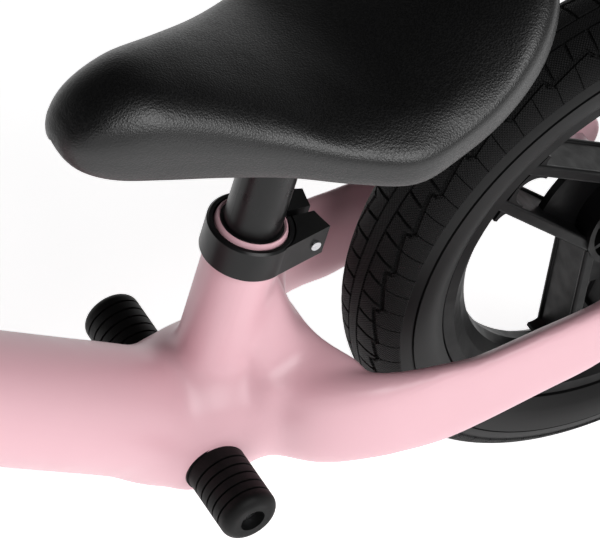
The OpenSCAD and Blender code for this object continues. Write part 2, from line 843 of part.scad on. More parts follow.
module steerer() {
  color(steel) on_steering() translate([0, 0, crown_height - 28.8]) difference() {
    tube(steerer_r, bar_r + run_fit, steerer_top - crown_height + 28.8);
    translate([-steerer_r - 5, -1.25, steerer_top - crown_height + 28.8 - 26]) cube([steerer_r + 5, 2.5, 40]);
  }
}

bar_ear_back = 30;
bar_ear_half = 10.5;
bar_bolt_x = -23.5;

module at_bar_clamp() {
  on_steering() translate([0, 0, clamp_w0]) children();
}

module bar_clamp() {
  color(satin_black) at_bar_clamp()
    split_collar(steerer_r + seat_fit, collar_wall, bar_ear_back, bar_ear_half, clamp_h, bar_bolt_x);
}

module bar_clamp_bolt() {
  color(steel) at_bar_clamp() translate([bar_bolt_x, 0, clamp_h / 2]) clamp_bolt(bar_ear_half + 1, bar_ear_half);
}

/* ---------- handlebar ---------- */

bar_wall = 2;
grip_len = 112;
grip_end_r = 20;
grip_end_t = 5;

module handlebar() {
  color(satin_black) on_steering() difference() {
    union() {
      translate([0, 0, bar_height]) y_rod(bar_r, grip_end_t + 1 - bar_width / 2, bar_width / 2 - grip_end_t - 1);
      translate([0, 0, steerer_top - bar_insert]) cylinder(r = bar_r, h = bar_height - steerer_top + bar_insert);
      // collar that the bar is welded into
      translate([0, 0, bar_height - bar_r - 7]) cylinder(r1 = bar_r + 0.6, r2 = bar_r + 2.2, h = 12);
    }
    translate([0, 0, steerer_top - bar_insert - 1])
      cylinder(r = bar_r - bar_wall, h = bar_height - steerer_top + bar_insert - 8);
  }
}

// Rubber grip: ribbed middle, inner collar and a wide round safety end
module grip() {
  rib_pitch = 5;
  on_steering() translate([0, bar_width / 2 - grip_len, bar_height]) rotate([-90, 0, 0]) difference() {
    rotate_extrude() difference() {
      union() {
        square([grip_r, grip_len]);
        square([grip_r + 4, 4]);
        for (k = [0 : 17])
          translate([grip_r - 0.4, 8 + k * rib_pitch]) circle(r = 1.5, $fn = 24);
        translate([0, grip_len - 8]) square([grip_end_r - 4, 8]);
        translate([0, grip_len - 8]) square([grip_end_r, 4]);
        translate([grip_end_r - 4, grip_len - 4]) circle(r = 4);
      }
      translate([-50, -50]) square([50, 250]);
    }
    translate([0, 0, -1]) cylinder(r = bar_r + seat_fit, h = grip_len - grip_end_t + 1);
  }
}

module left_grip() {
  color(rubber_black) grip();
}

module right_grip() {
  color(rubber_black) mirror([0, 1, 0]) grip();
}

/* ---------- wheels ---------- */

tyre_t = 4.5;
rim_bed = rim_r - 9;
rim_well = rim_r - 17;
rim_in = rim_well - 4;
valve_turn = spoke_turn + 180;

// Wheel frame: Z along the axle towards the rider's left, X forward, Y up
module on_wheel(x) {
  translate([x, 0, hub_z]) rotate([90, 0, 0]) mirror([0, 0, 1]) children();
}

// Half section of the rim, from its middle to one flange
rim_half = [
  [rim_in, 0], [rim_in + 1.5, 7], [rim_in + 7, 13], [rim_r - 7, rim_half_w], [rim_r - 1, rim_half_w],
  [rim_r, rim_half_w - 1], [rim_r, rim_half_w - 2.2], [rim_bed, rim_half_w - 4], [rim_bed - 1, rim_half_w - 8],
  [rim_well, 7], [rim_well, 0]
];

module rim() {
  rotate_extrude($fn = 128) polygon(concat(
    rim_half,
    [for (i = [len(rim_half) - 2 : -1 : 1]) [rim_half[i][0], -rim_half[i][1]]]
  ));
}

// One wall of a spoke, lying along +X at the spoke's offset, with beaded edges
module spoke_wall() {
  web = 4;
  bead = 6.5;
  bead_h = 3;
  reach = rim_in + 5;
  translate([0, spoke_offset, 0]) rotate([0, 0, -spoke_taper]) rotate([90, 0, 90])
    translate([0, 0, 14]) linear_extrude(reach - 14 + 1) {
      square([web, 2 * spoke_half_w - 2], center = true);
      for (s = [-1, 1]) {
        translate([0, s * (spoke_half_w - bead_h / 2)]) square([bead - bead_h, bead_h], center = true);
        for (e = [-1, 1])
          translate([e * (bead - bead_h) / 2, s * (spoke_half_w - bead_h / 2)]) circle(r = bead_h / 2, $fn = 24);
      }
    }
}

// Filled corner between a spoke wall and the rim, hollowed to radius r
module rim_corner(turn, r, side) {
  rotate([0, 0, turn]) translate([rim_in + 2, 0, -spoke_half_w + 1]) difference() {
    translate([-r - 2, side > 0 ? 0 : -r - 2, 0]) cube([r + 2, r + 2, 2 * spoke_half_w - 2]);
    translate([-r - 2, side * (r + 2), -1]) cylinder(r = r, h = 2 * spoke_half_w);
  }
}

module spoke() {
  both_sides() spoke_wall();
  // web that closes the root of the spoke, with a round outer edge
  linear_extrude(4, center = true) intersection() {
    circle(r = 52);
    polygon([[8, -spoke_offset], [8, spoke_offset], [90, 14], [90, -14]]);
  }
  wall_turn = asin((spoke_offset - rim_in * sin(spoke_taper)) / rim_in);
  both_sides() rim_corner(wall_turn, 7, 1);
  both_sides() rim_corner(wall_turn, 10, -1);
}

// Hub: outer barrel, inner sleeve, ribs between them and a floor
module hub() {
  ribs = 9;
  sleeve_ro = wheel_bearing_r + 3;
  difference() {
    union() {
      translate([0, 0, -15]) tube(hub_r, hub_r - 3, 30);
      translate([0, 0, -2]) cylinder(r = hub_r - 1, h = 4);
      translate([0, 0, -hub_half - 0.4]) cylinder(r = sleeve_ro, h = 2 * hub_half + 0.8);
      for (k = [0 : ribs - 1])
        rotate([0, 0, 360 * k / ribs + 20]) translate([sleeve_ro - 1, -1.2, -13])
          cube([hub_r - sleeve_ro, 2.4, 26]);
    }
    translate([0, 0, -60]) cylinder(r = wheel_bearing_r - 2.5, h = 120);
    for (m = [0, 1])
      mirror([0, 0, m]) translate([0, 0, bearing_in]) cylinder(r = wheel_bearing_r + seat_fit, h = 40);
  }
}

module wheel_casting() {
  valve_r = 4.2;
  difference() {
    union() {
      rim();
      difference() {
        for (k = [0 : spoke_count - 1])
          rotate([0, 0, spoke_turn + 360 * k / spoke_count]) spoke();
        cylinder(r = hub_r - 2, h = 100, center = true);
        // nothing may reach past the rim's inner wall
        rotate_extrude($fn = 128) polygon([
          [rim_well, 0], [rim_well, 7], [rim_in + 8, 14], [rim_in + 30, 30],
          [rim_in + 30, -30], [rim_in + 8, -14], [rim_well, -7]
        ]);
      }
      hub();
    }
    rotate([0, 0, valve_turn]) translate([60, 0, 0]) rotate([0, 90, 0]) cylinder(r = valve_r, h = 80);
  }
}

// Outline points of a tyre half section, from turn t0 up to the crown,
// at an inset from the outer skin
tyre_mid = (tyre_r + rim_bed + 3) / 2;
tyre_deep = (tyre_r - rim_bed - 3) / 2;
function tyre_skin(inset, t0, sides) =
  let (a = tyre_w / 2 - inset, b = tyre_deep - inset) [
    for (k = [0 : sides])
      let (t = t0 + (90 - t0) * k / sides)
        [tyre_mid + b * signed_pow(sin(t), 0.8), a * signed_pow(cos(t), 0.8)]
  ];

module tyre() {
  edge_gap = 0.4;
  outer_turn = -asin(pow((tyre_mid - rim_r - edge_gap) / tyre_deep, 1.25));
  bead_y = rim_half_w - 4.3;
  half = concat(
    [[rim_bed + 0.3, bead_y - 4], [rim_bed + 0.3, bead_y]],
    [[rim_r - 0.2, rim_half_w - 2.5], [rim_r + edge_gap, rim_half_w - 2.4]],
    tyre_skin(0, outer_turn, 22)
  );
  half_in = concat([[rim_bed + 0.3, bead_y - 4]], tyre_skin(tyre_t, -52, 18));
  rotate_extrude($fn = 128) difference() {
    polygon(concat(half, [for (i = [len(half) - 1 : -1 : 0]) [half[i][0], -half[i][1]]]));
    polygon(concat(
      [[rim_bed - 5, bead_y - 4]], half_in,
      [for (i = [len(half_in) - 1 : -1 : 0]) [half_in[i][0], -half_in[i][1]]],
      [[rim_bed - 5, 4 - bead_y]]
    ));
    // fine line round each side where the tread stops
    for (s = [-1, 1])
      translate([tyre_r - 20.5, s * (tyre_w / 2 - 0.4)]) rotate(s * 22) square([0.9, 2.4], center = true);
  }
}

tube_t = 1.6;
tube_r = min(tyre_w / 2, tyre_deep) - tyre_t - 0.4;
module inner_tube() {
  rotate_extrude($fn = 128) translate([tyre_mid, 0]) difference() {
    circle(r = tube_r, $fn = 48);
    circle(r = tube_r - tube_t, $fn = 48);
  }
}

valve_out = rim_in - 26;
module valve() {
  foot = tyre_mid - tube_r - 0.2;
  rotate([0, 0, valve_turn]) rotate([0, 90, 0]) rotate_extrude() polygon([
    [0, valve_out + 8], [2.4, valve_out + 8], [2.4, valve_out + 14], [3.4, valve_out + 15], [3.9, rim_in - 2],
    [3.9, foot - 1.5], [8, foot - 1], [8, foot], [0, foot]
  ]);
}

module valve_cap() {
  rotate([0, 0, valve_turn]) translate([valve_out, 0, 0]) rotate([0, 90, 0]) difference() {
    union() {
      translate([0, 0, 1]) cylinder(r = 3.8, h = 12);
      cylinder(r1 = 2.8, r2 = 3.8, h = 1);
      for (k = [0 : 11])
        rotate([0, 0, 30 * k]) translate([3.6, -0.4, 2]) cube([0.7, 0.8, 10]);
    }
    translate([0, 0, 7.7]) cylinder(r = 2.45, h = 10);
  }
}

module wheel_bearings_outer() {
  for (m = [0, 1])
    mirror([0, 0, m]) translate([0, 0, bearing_in]) bearing_outer(wheel_bearing_r, axle_r, wheel_bearing_w, 2.2, 7);
}

module wheel_bearings_inner() {
  for (m = [0, 1])
    mirror([0, 0, m]) translate([0, 0, bearing_in]) bearing_inner(wheel_bearing_r, axle_r + seat_fit, wheel_bearing_w, 2.2);
}

spacer_r = 7.5;
module hub_spacer() {
  translate([0, 0, -bearing_in]) tube(axle_r + 1.8, axle_r + seat_fit, 2 * bearing_in);
}

module end_spacers() {
  for (m = [0, 1])
    mirror([0, 0, m]) translate([0, 0, hub_half]) tube(axle_r + 1.9, axle_r + seat_fit, half_gap - hub_half);
}

axle_end = half_gap + dropout_t + washer_t + nut_h;
module axle() {
  translate([0, 0, -axle_end]) cylinder(r = axle_r, h = 2 * axle_end);
}

module axle_washers() {
  for (m = [0, 1])
    mirror([0, 0, m]) translate([0, 0, half_gap + dropout_t]) tube(washer_r, axle_r + 0.2, washer_t);
}

// Domed cap nuts
module axle_nuts() {
  for (m = [0, 1])
    mirror([0, 0, m]) translate([0, 0, half_gap + dropout_t + washer_t]) difference() {
      union() {
        cylinder(r = nut_r, h = nut_h, $fn = 6);
        translate([0, 0, nut_h]) intersection() {
          sphere(r = nut_r * cos(30) - 0.5);
          cylinder(r = 20, h = 20);
        }
      }
      translate([0, 0, -1]) cylinder(r = axle_r + seat_fit, h = nut_h + 1.1);
    }
}

module front_wheel() { color(nylon_black) on_wheel(front_x) wheel_casting(); }
module front_tyre() { color(rubber_black) on_wheel(front_x) tyre(); }
module front_inner_tube() { color(rubber_black) on_wheel(front_x) inner_tube(); }
module front_valve() { color(steel) on_wheel(front_x) valve(); }
module front_valve_cap() { color(rubber_black) on_wheel(front_x) valve_cap(); }
module front_bearing_outers() { color(steel) on_wheel(front_x) wheel_bearings_outer(); }
module front_bearing_inners() { color(steel) on_wheel(front_x) wheel_bearings_inner(); }
module front_hub_spacer() { color(steel) on_wheel(front_x) hub_spacer(); }
module front_end_spacers() { color(steel) on_wheel(front_x) end_spacers(); }
module front_axle() { color(steel) on_wheel(front_x) axle(); }
module front_axle_washers() { color(steel) on_wheel(front_x) axle_washers(); }
module front_axle_nuts() { color(steel) on_wheel(front_x) axle_nuts(); }

module rear_wheel() { color(nylon_black) on_wheel(rear_x) wheel_casting(); }
module rear_tyre() { color(rubber_black) on_wheel(rear_x) tyre(); }
module rear_inner_tube() { color(rubber_black) on_wheel(rear_x) inner_tube(); }
module rear_valve() { color(steel) on_wheel(rear_x) valve(); }
module rear_valve_cap() { color(rubber_black) on_wheel(rear_x) valve_cap(); }
module rear_bearing_outers() { color(steel) on_wheel(rear_x) wheel_bearings_outer(); }
module rear_bearing_inners() { color(steel) on_wheel(rear_x) wheel_bearings_inner(); }
module rear_hub_spacer() { color(steel) on_wheel(rear_x) hub_spacer(); }
module rear_end_spacers() { color(steel) on_wheel(rear_x) end_spacers(); }
module rear_axle() { color(steel) on_wheel(rear_x) axle(); }
module rear_axle_washers() { color(steel) on_wheel(rear_x) axle_washers(); }
module rear_axle_nuts() { color(steel) on_wheel(rear_x) axle_nuts(); }

frame();
seat_collar();
seat_collar_bolt();
seatpost_sleeve();
left_peg();
right_peg();
peg_cores();
peg_bolts();
peg_inserts();
lower_headset_cup();
upper_headset_cup();
headset_outer_races();
headset_inner_races();
crown_race();
headset_cover();
fork();
steerer();
bar_clamp();
bar_clamp_bolt();
handlebar();
left_grip();
right_grip();
seatpost();
seatpost_plug();
saddle_base();
saddle_pad();
saddle_bolts();
front_wheel();
front_tyre();
front_inner_tube();
front_valve();
front_valve_cap();
front_bearing_outers();
front_bearing_inners();
front_hub_spacer();
front_end_spacers();
front_axle();
front_axle_washers();
front_axle_nuts();
rear_wheel();
rear_tyre();
rear_inner_tube();
rear_valve();
rear_valve_cap();
rear_bearing_outers();
rear_bearing_inners();
rear_hub_spacer();
rear_end_spacers();
rear_axle();
rear_axle_washers();
rear_axle_nuts();
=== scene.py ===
"""Looks of a child's balance bike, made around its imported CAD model.

Shapes are worked out in millimetres and written to Blender in metres.
X is forward, Y is to the rider's left and Z is up.
"""

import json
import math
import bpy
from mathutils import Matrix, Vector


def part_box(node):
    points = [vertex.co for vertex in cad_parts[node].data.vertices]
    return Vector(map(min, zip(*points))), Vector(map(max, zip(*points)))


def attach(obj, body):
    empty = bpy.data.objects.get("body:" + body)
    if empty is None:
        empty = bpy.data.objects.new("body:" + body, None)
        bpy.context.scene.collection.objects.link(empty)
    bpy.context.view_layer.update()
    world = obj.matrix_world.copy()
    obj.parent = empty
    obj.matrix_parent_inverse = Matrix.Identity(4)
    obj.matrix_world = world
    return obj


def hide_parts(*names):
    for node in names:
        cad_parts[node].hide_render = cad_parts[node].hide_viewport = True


bl_info = {
    "name": "Balance Bike Finishes",
    "version": (1, 0, 0),
    "blender": (4, 5, 0),
    "location": "3D View > Sidebar > Balance Bike",
    "description": "Builds the painted castings, saddle cover, tyres and finishes of a balance bike",
    "category": "Object",
}

import bmesh
import bpy
import numpy as np
import openvdb
from bpy.props import FloatProperty, FloatVectorProperty, IntProperty, PointerProperty, StringProperty
from mathutils import Matrix, Vector

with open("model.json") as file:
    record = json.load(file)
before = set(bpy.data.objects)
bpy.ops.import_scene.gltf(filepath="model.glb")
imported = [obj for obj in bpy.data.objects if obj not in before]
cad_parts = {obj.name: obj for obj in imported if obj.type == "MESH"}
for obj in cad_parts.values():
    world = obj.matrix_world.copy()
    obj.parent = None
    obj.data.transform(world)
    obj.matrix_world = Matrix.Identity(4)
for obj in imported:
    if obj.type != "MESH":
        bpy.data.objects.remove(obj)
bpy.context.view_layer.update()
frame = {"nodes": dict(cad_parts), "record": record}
MM = 0.001

# ---------- places and sizes, in millimetres ----------


def node_middle(name):
    """Middle of a CAD node's box, in millimetres."""
    low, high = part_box(name)
    return (Vector(low) + Vector(high)) / 2 / MM


def tilted(origin, lean):
    """Matrix of a place in millimetres whose Z leans back from upright by an angle."""
    return Matrix.Translation(origin) @ Matrix.Rotation(-lean, 4, "Y")


SEAT_LEAN = math.radians(15.6)
SEAT_RING = Vector((-99.3, 0.0, 260.7))
HEAD_TILT = math.radians(19.0)
STEER_FOOT = Vector((277.917, 0.0, 141.535))
PEG_PLACE = Vector((-58.5, 0.0, 141.0))
REAR_HUB = node_middle("rear_axle")
FRONT_HUB = node_middle("front_axle")

SEAT = tilted(SEAT_RING, SEAT_LEAN)
STEER = tilted(STEER_FOOT, HEAD_TILT)


def along_y(origin):
    """Matrix whose Z runs along +Y from a place."""
    return Matrix.Translation(origin) @ Matrix.Rotation(-math.pi / 2, 4, "X")


# seat tube: outer and bore radius, depth of the bore, its slot's width, depth and reach to the rear
SEAT_TUBE_R, SEAT_BORE_R, SEAT_BORE_DEPTH = 18.0, 15.09, 112.0
SEAT_SLOT_W, SEAT_SLOT_DEPTH, SEAT_SLOT_REACH = 3.0, 30.0, 26.0

# head tube: outer and bore radius, radius at its chamfered mouths, and its two ends along the steering axis
HEAD_TUBE_R, HEAD_BORE_R, HEAD_MOUTH_R = 21.0, 17.33, 18.2
HEAD_LOW, HEAD_HIGH = 198.0, 272.0

# fork: crown's height along the steering axis, its boss, the steerer's bore, that bore's chamfered mouth,
# the seat of the lower race, and the fork's share of the casting blend
CROWN = 186.0
CROWN_BOSS_R, STEERER_BORE_R, STEERER_MOUTH_R, RACE_SEAT_R = 14.5, 12.73, 13.5, 18.9
CROWN_BOSS_DEPTH, STEERER_BORE_DEPTH = 30, 29
FORK_SOFTNESS = 0.8

# dropouts: radius of the axle's bore, the solid core's distance from the middle plane, radius and half
# length, and the washer's seat with its two ends
AXLE_BORE_R = 5.06
DROPOUT_Y, DROPOUT_CORE_R, DROPOUT_CORE_HALF = 49.0, 8.0, 6.0
WASHER_SEAT_R, WASHER_SEAT_Y, WASHER_SEAT_END = 11.3, 55.0, 75.0

# pegs: radius of the solid core between them, reach of that core, bore and its two ends
PEG_CORE_R, PEG_CORE_Y = 7.5, 30.5
PEG_BORE_R, PEG_BORE_Y, PEG_BORE_END = 6.03, 15.0, 40.0

# crotch: x of its round wall's foremost line, and that wall's radius
CROTCH_X, CROTCH_R = -122.5, 47.0

# swelling round the seat tube's foot: middle, half sizes and fillet
SWELL_PLACE, SWELL_RADII, SWELL_FILLET = (-70, 0, 146), (52, 35, 35), 12

# web from the seat tube back to the crotch: its top line as (x, z), foot height, spread to each side,
# the walls that bound it, its fillet, and the powers that round its shoulders and hollow its sides
WEB_SPINE = [(-126, 176), (-120, 184), (-115, 200), (-111, 214), (-107, 228), (-100, 236), (-88, 240)]
WEB_FOOT, WEB_SPREAD = 176, 30
WEB_FRONT, WEB_REAR, WEB_SIDE, WEB_BOTTOM = -88, -126, 33, 155
WEB_FILLET = 5
WEB_SHOULDER, WEB_HOLLOW = 1.6, 1.7

# stays, which keep crisper edges: their blend, the x behind which it holds and the length over which it ends
STAY_BLEND, STAY_START, STAY_FADE = 1.9, -168, 24

# tyre: radius over the tread, radius of the rim's bed, half width, room between the bed and the outer
# section, the power that squares that section, and its middle and half depth
TYRE_RADIUS, RIM_BED, TYRE_HALF_WIDTH = 150.0, 103.0, 25.0
BED_ROOM, SECTION_POWER = 3, 0.8
SECTION_MIDDLE = (TYRE_RADIUS + RIM_BED + BED_ROOM) / 2
SECTION_DEEP = (TYRE_RADIUS - RIM_BED - BED_ROOM) / 2

# tread, by distance from the crown line: where the cross grooves start, narrow and end, their two half
# widths and the thin part's share of the depth, then the end of the knurling, the tread's edge and the
# depth of the knurling
GROOVE_START, GROOVE_NARROWS, GROOVE_END = 4.3, 15.6, 28.4
GROOVE_WIDE, GROOVE_THIN, THIN_SHARE = 0.9, 0.34, 0.55
KNURL_END, TREAD_EDGE, KNURL_DEPTH = 28.3, 28.8, 0.3

# rows across half the tread: distance from the crown line, and share of the groove depth that runs round
TREAD_ROWS = [
    (0, 0), (1.6, 0), (3.0, 0), (3.3, 0.7), (4.1, 0.7), (4.4, 0), (6, 0), (8, 0), (10, 0), (12, 0),
    (14.3, 0), (14.9, 1.0), (16.3, 1.0), (16.9, 0), (18.5, 0), (20.5, 0), (22.5, 0), (24.5, 0), (26.5, 0),
    (28.3, 0), (TREAD_EDGE, 0.45), (30.5, 0.45), (32.5, 0.35), (34.5, 0.3), (34.8, 0.9), (35.4, 0.9),
    (35.7, 0), (37.5, 0), (39.5, 0), (41.5, 0), (43.5, 0), (45.5, 0), (47.5, 0), (49.5, 0),
]

# columns in each pitch: the sides and floor of a cross groove as shares of its half width, and whether they
# are sunk, then the block up to the next groove as shares of the pitch
GROOVE_COLUMNS = [(-1, False), (-0.62, True), (0.62, True), (1, False)]
BLOCK_COLUMNS = [0.2, 0.36, 0.52, 0.68, 0.84]

# one side of the bead and inner skin, as (radius, distance from the middle plane)
BEAD = [(111.8, 16.6), (103.3, 14.7), (103.3, 10.7), (112, 17.0), (120, 19.8), (132, 20.0), (141, 15.5),
        (145.3, 7)]

# saddle: length, half width, height of its lowest edge, rings from one station to the next, segments over the
# top of each ring, and powers that square the ring sideways and over the top
SADDLE_LENGTH, SADDLE_HALF_WIDTH, SADDLE_FOOT = 248.0, 68.0, 325.0
STATION_STEPS = 6
RING_SEGMENTS, RING_SIDE_POWER, RING_TOP_POWER = 48, 0.86, 0.92

# stations along the saddle: share of its length, share of its half width, rise of its top and lower edge
SADDLE_STATIONS = [
    (0.00, 0.02, 49.2, 48.0), (0.007, 0.14, 54.5, 42.6), (0.03, 0.26, 62, 37), (0.08, 0.36, 68.5, 31),
    (0.16, 0.445, 70.5, 25), (0.26, 0.54, 62, 18.5), (0.37, 0.675, 49.5, 12), (0.48, 0.86, 37.5, 4.5),
    (0.58, 1.00, 33, 0), (0.68, 0.96, 33.5, 1.5), (0.78, 0.875, 37.5, 5.5), (0.88, 0.715, 46, 13),
    (0.95, 0.50, 50, 23.5), (0.99, 0.22, 46, 34), (1.00, 0.02, 41, 39.8),
]

# cloth of the saddle cover: frames it settles over, pressure and stiffnesses
CLOTH_FRAMES, CLOTH_PRESSURE, CLOTH_STRETCH, CLOTH_BEND = 20, 4.0, 40, 8

# half width of a distance field in cells, how far a plug runs past a tube's mouth for a cutter to face off,
# and how far cutters run past a casting
BAND_CELLS = 8
PLUG_OVER = 2.5
CLEAR = 40.0

# ---------- the studio, in metres ----------

CAMERA_PLACE, CAMERA_AIM = (0.51919, 1.12292, 1.83568), (-0.1243068, -0.00068, 0.2078538)
CAMERA_LENS, CAMERA_SENSOR, CAMERA_REACH = 270, 36, 100
SURROUND_LOW, SURROUND_HIGH = 0.05, 0.55
FLOOR_HALF = 6.0
LAMP_AIM = Vector((0, 0, 0.25))

# name, the property that holds its power, way to it from what it aims at, distance and size
LAMPS = [
    ("key_light", "key", (-0.2, 0.74, 0.62), 3.4, 2.2),
    ("side_light", "side", (0.6, 0.7, 0.4), 3.0, 1.2),
]


# ---------- meshes ----------

# angles in degrees from which an edge is drawn sharp: on a new piece, on a tyre, and after a cut
NEW_SHARP, TREAD_SHARP, CUT_SHARP = 40.0, 32.0, 35.0


def new_piece(name, points, faces, sharp=NEW_SHARP, uvs=None):
    """Object of a mesh given in millimetres, shaded smooth but for its sharp edges."""
    mesh = bpy.data.meshes.new(name)
    mesh.from_pydata((np.asarray(points, float) * MM).tolist(), [], faces)
    if uvs is not None:
        layer = mesh.uv_layers.new(name="tread")
        layer.data.foreach_set("uv", np.asarray(uvs, np.float32).ravel())
    mesh.shade_smooth()
    mesh.set_sharp_from_angle(angle=math.radians(sharp))
    piece = bpy.data.objects.new(name, mesh)
    bpy.context.scene.collection.objects.link(piece)
    return piece


def lathe(profile, place, sides=96):
    """Points and faces of a closed outline of (radius, height) turned about a place's Z."""
    points, faces = [], []
    rows = len(profile)
    for k in range(sides):
        turn = 2 * math.pi * k / sides
        for r, h in profile:
            points.append(place @ Vector((r * math.cos(turn), r * math.sin(turn), h)))
    for k in range(sides):
        here, there = k * rows, (k + 1) % sides * rows
        for j in range(rows):
            n = (j + 1) % rows
            faces.append((here + j, there + j, there + n, here + n))
    return points, faces


def tidy(piece, merge=0.002):
    """Merges doubled points and turns all faces outward."""
    bm = bmesh.new()
    bm.from_mesh(piece.data)
    bmesh.ops.remove_doubles(bm, verts=bm.verts, dist=merge * MM)
    bmesh.ops.dissolve_degenerate(bm, edges=bm.edges, dist=merge * MM)
    bmesh.ops.recalc_face_normals(bm, faces=bm.faces)
    bm.to_mesh(piece.data)
    bm.free()
    return piece


def turned(name, profile, place, sides=96):
    """Piece turned from an outline, used only to cut with."""
    return tidy(new_piece(name, *lathe(profile, place, sides)))


def rod(name, radius, low, high, place, sides=48):
    """Plain cylinder along a place's Z, used only to cut with."""
    return turned(name, [(0, low), (radius, low), (radius, high), (0, high)], place, sides)


def block(name, size, place):
    """Box from low to high corner in a place, used only to cut with."""
    (x0, y0, z0), (x1, y1, z1) = size
    corners = [(x, y, z) for x in (x0, x1) for y in (y0, y1) for z in (z0, z1)]
    faces = [(0, 1, 3, 2), (4, 6, 7, 5), (0, 4, 5, 1), (2, 3, 7, 6), (0, 2, 6, 4), (1, 5, 7, 3)]
    return tidy(new_piece(name, [place @ Vector(c) for c in corners], faces))


def vertex_rows(mesh, what="co"):
    """Places, or normals, of a mesh's points as rows of three numbers."""
    values = np.empty(len(mesh.vertices) * 3, np.float32)
    mesh.vertices.foreach_get(what, values)
    return values.reshape(-1, 3)


def evaluated_mesh(piece):
    """New mesh of a piece with its modifiers applied."""
    graph = bpy.context.evaluated_depsgraph_get()
    return bpy.data.meshes.new_from_object(piece.evaluated_get(graph))


def freeze(piece):
    """Applies a piece's modifiers."""
    mesh = evaluated_mesh(piece)
    piece.modifiers.clear()
    old = piece.data
    piece.data = mesh
    bpy.data.meshes.remove(old)


def cut(piece, cutters):
    """Takes the cutters out of a piece, then throws them away."""
    for cutter in cutters:
        step = piece.modifiers.new("cut", "BOOLEAN")
        step.operation = "DIFFERENCE"
        step.solver = "MANIFOLD"
        step.object = cutter
    freeze(piece)
    for cutter in cutters:
        bpy.data.objects.remove(cutter)
    piece.data.shade_smooth()
    piece.data.set_sharp_from_angle(angle=math.radians(CUT_SHARP))


# ---------- castings ----------


def node_soup(name):
    """Points in millimetres and triangles of a CAD node."""
    mesh = frame["nodes"][name].data
    mesh.calc_loop_triangles()
    corners = np.empty(len(mesh.loop_triangles) * 3, np.int32)
    mesh.loop_triangles.foreach_get("vertices", corners)
    return vertex_rows(mesh) / MM, corners.reshape(-1, 3).astype(np.uint32)


def blurred(field, width):
    """Field smoothed by a bell curve of a width in cells."""
    reach = int(math.ceil(2.6 * width))
    weights = np.exp(-0.5 * (np.arange(-reach, reach + 1) / width) ** 2)
    weights = (weights / weights.sum()).astype(np.float32)
    for axis in range(3):
        pads = [(reach, reach) if a == axis else (0, 0) for a in range(3)]
        wide = np.pad(field, pads, mode="edge")
        size = field.shape[axis]
        out = np.zeros_like(field)
        for k, weight in enumerate(weights):
            part = [slice(None)] * 3
            part[axis] = slice(k, k + size)
            out += weight * wide[tuple(part)]
        field = out
    return field


class Casting:
    """Distance field over a CAD node, from which a smooth cast skin is drawn."""

    def __init__(self, node, cell):
        points, corners = node_soup(node)
        self.cell = cell
        self.band = cell * BAND_CELLS
        place = openvdb.createLinearTransform(voxelSize=cell)
        grid = openvdb.FloatGrid.createLevelSetFromPolygons(
            points.astype(np.float32), triangles=corners, transform=place, halfWidth=float(BAND_CELLS)
        )
        low, high = grid.evalActiveVoxelBoundingBox()
        self.low = np.array(low) - 1
        shape = np.array(high) - self.low + 2
        self.field = np.full(shape, self.band, np.float32)
        grid.copyToArray(self.field, ijk=tuple(int(v) for v in self.low))
        axes = [(np.arange(n) + o) * cell for n, o in zip(shape, self.low)]
        self.x = axes[0][:, None, None].astype(np.float32)
        self.y = axes[1][None, :, None].astype(np.float32)
        self.z = axes[2][None, None, :].astype(np.float32)

    def local(self, place):
        """Coordinates of the cells in a place."""
        back = place.inverted()
        return [
            back[i][0] * self.x + back[i][1] * self.y + back[i][2] * self.z + back[i][3] for i in range(3)
        ]

    def plug(self, place, radius, low, high):
        """Adds a cylinder about a place's Z."""
        a, b, c = self.local(place)
        side = np.sqrt(a * a + b * b) - radius
        self.join(np.maximum(side, np.maximum(low - c, c - high)))

    def join(self, solid, blend=0.0):
        """Adds a solid given by its distance field, with a fillet of about a blend."""
        if blend:
            mix = np.clip(0.5 + 0.5 * (self.field - solid) / blend, 0, 1)
            self.field = self.field * (1 - mix) + solid * mix - blend * mix * (1 - mix)
        else:
            self.field = np.minimum(self.field, solid)
        self.field = np.clip(self.field, -self.band, self.band)

    def clear(self, room):
        """Takes away the space inside a distance field."""
        self.field = np.maximum(self.field, np.clip(-room, -self.band, self.band))

    def egg(self, centre, radii):
        """Distance field of an egg-shaped swelling."""
        parts = [axis - c for axis, c in zip((self.x, self.y, self.z), centre)]
        near = np.sqrt(sum((p / r) ** 2 for p, r in zip(parts, radii)))
        steep = np.sqrt(sum((p / r ** 2) ** 2 for p, r in zip(parts, radii)))
        return near * (near - 1) / np.maximum(steep, 1e-4)

    def ramp(self, spine, foot, spread):
        """Distance field of a web that falls in a hollow curve from a spine at Y = 0 to a foot."""
        xs, zs = zip(*sorted(spine))
        ridge = np.interp(self.x[:, 0, 0], xs, zs)[:, None]
        side = np.abs(self.y[0, :, 0])[None, :]
        fall = np.clip(1 - (side / spread) ** WEB_SHOULDER, 0, 1) ** WEB_HOLLOW
        top = foot + (ridge - foot) * fall
        slope_x, slope_y = np.gradient(top, self.cell)
        steep = np.sqrt(1 + slope_x ** 2 + slope_y ** 2)
        return (self.z - top[:, :, None]) / steep[:, :, None]

    def softened(self, width):
        """The field with edges rounded and corners filled by about a width."""
        return blurred(self.field, width / self.cell)

    def piece(self, name):
        """Mesh of the field's surface."""
        grid = openvdb.FloatGrid(self.band)
        grid.transform = openvdb.createLinearTransform(voxelSize=self.cell)
        grid.copyFromArray(self.field, ijk=tuple(int(v) for v in self.low))
        points, triangles, quads = grid.convertToPolygons(isovalue=0.0, adaptivity=0.0)
        faces = [tuple(f) for f in quads.tolist()] + [tuple(f) for f in triangles.tolist()]
        return tidy(new_piece(name, points, faces), 0.001)


# ---------- finishes ----------


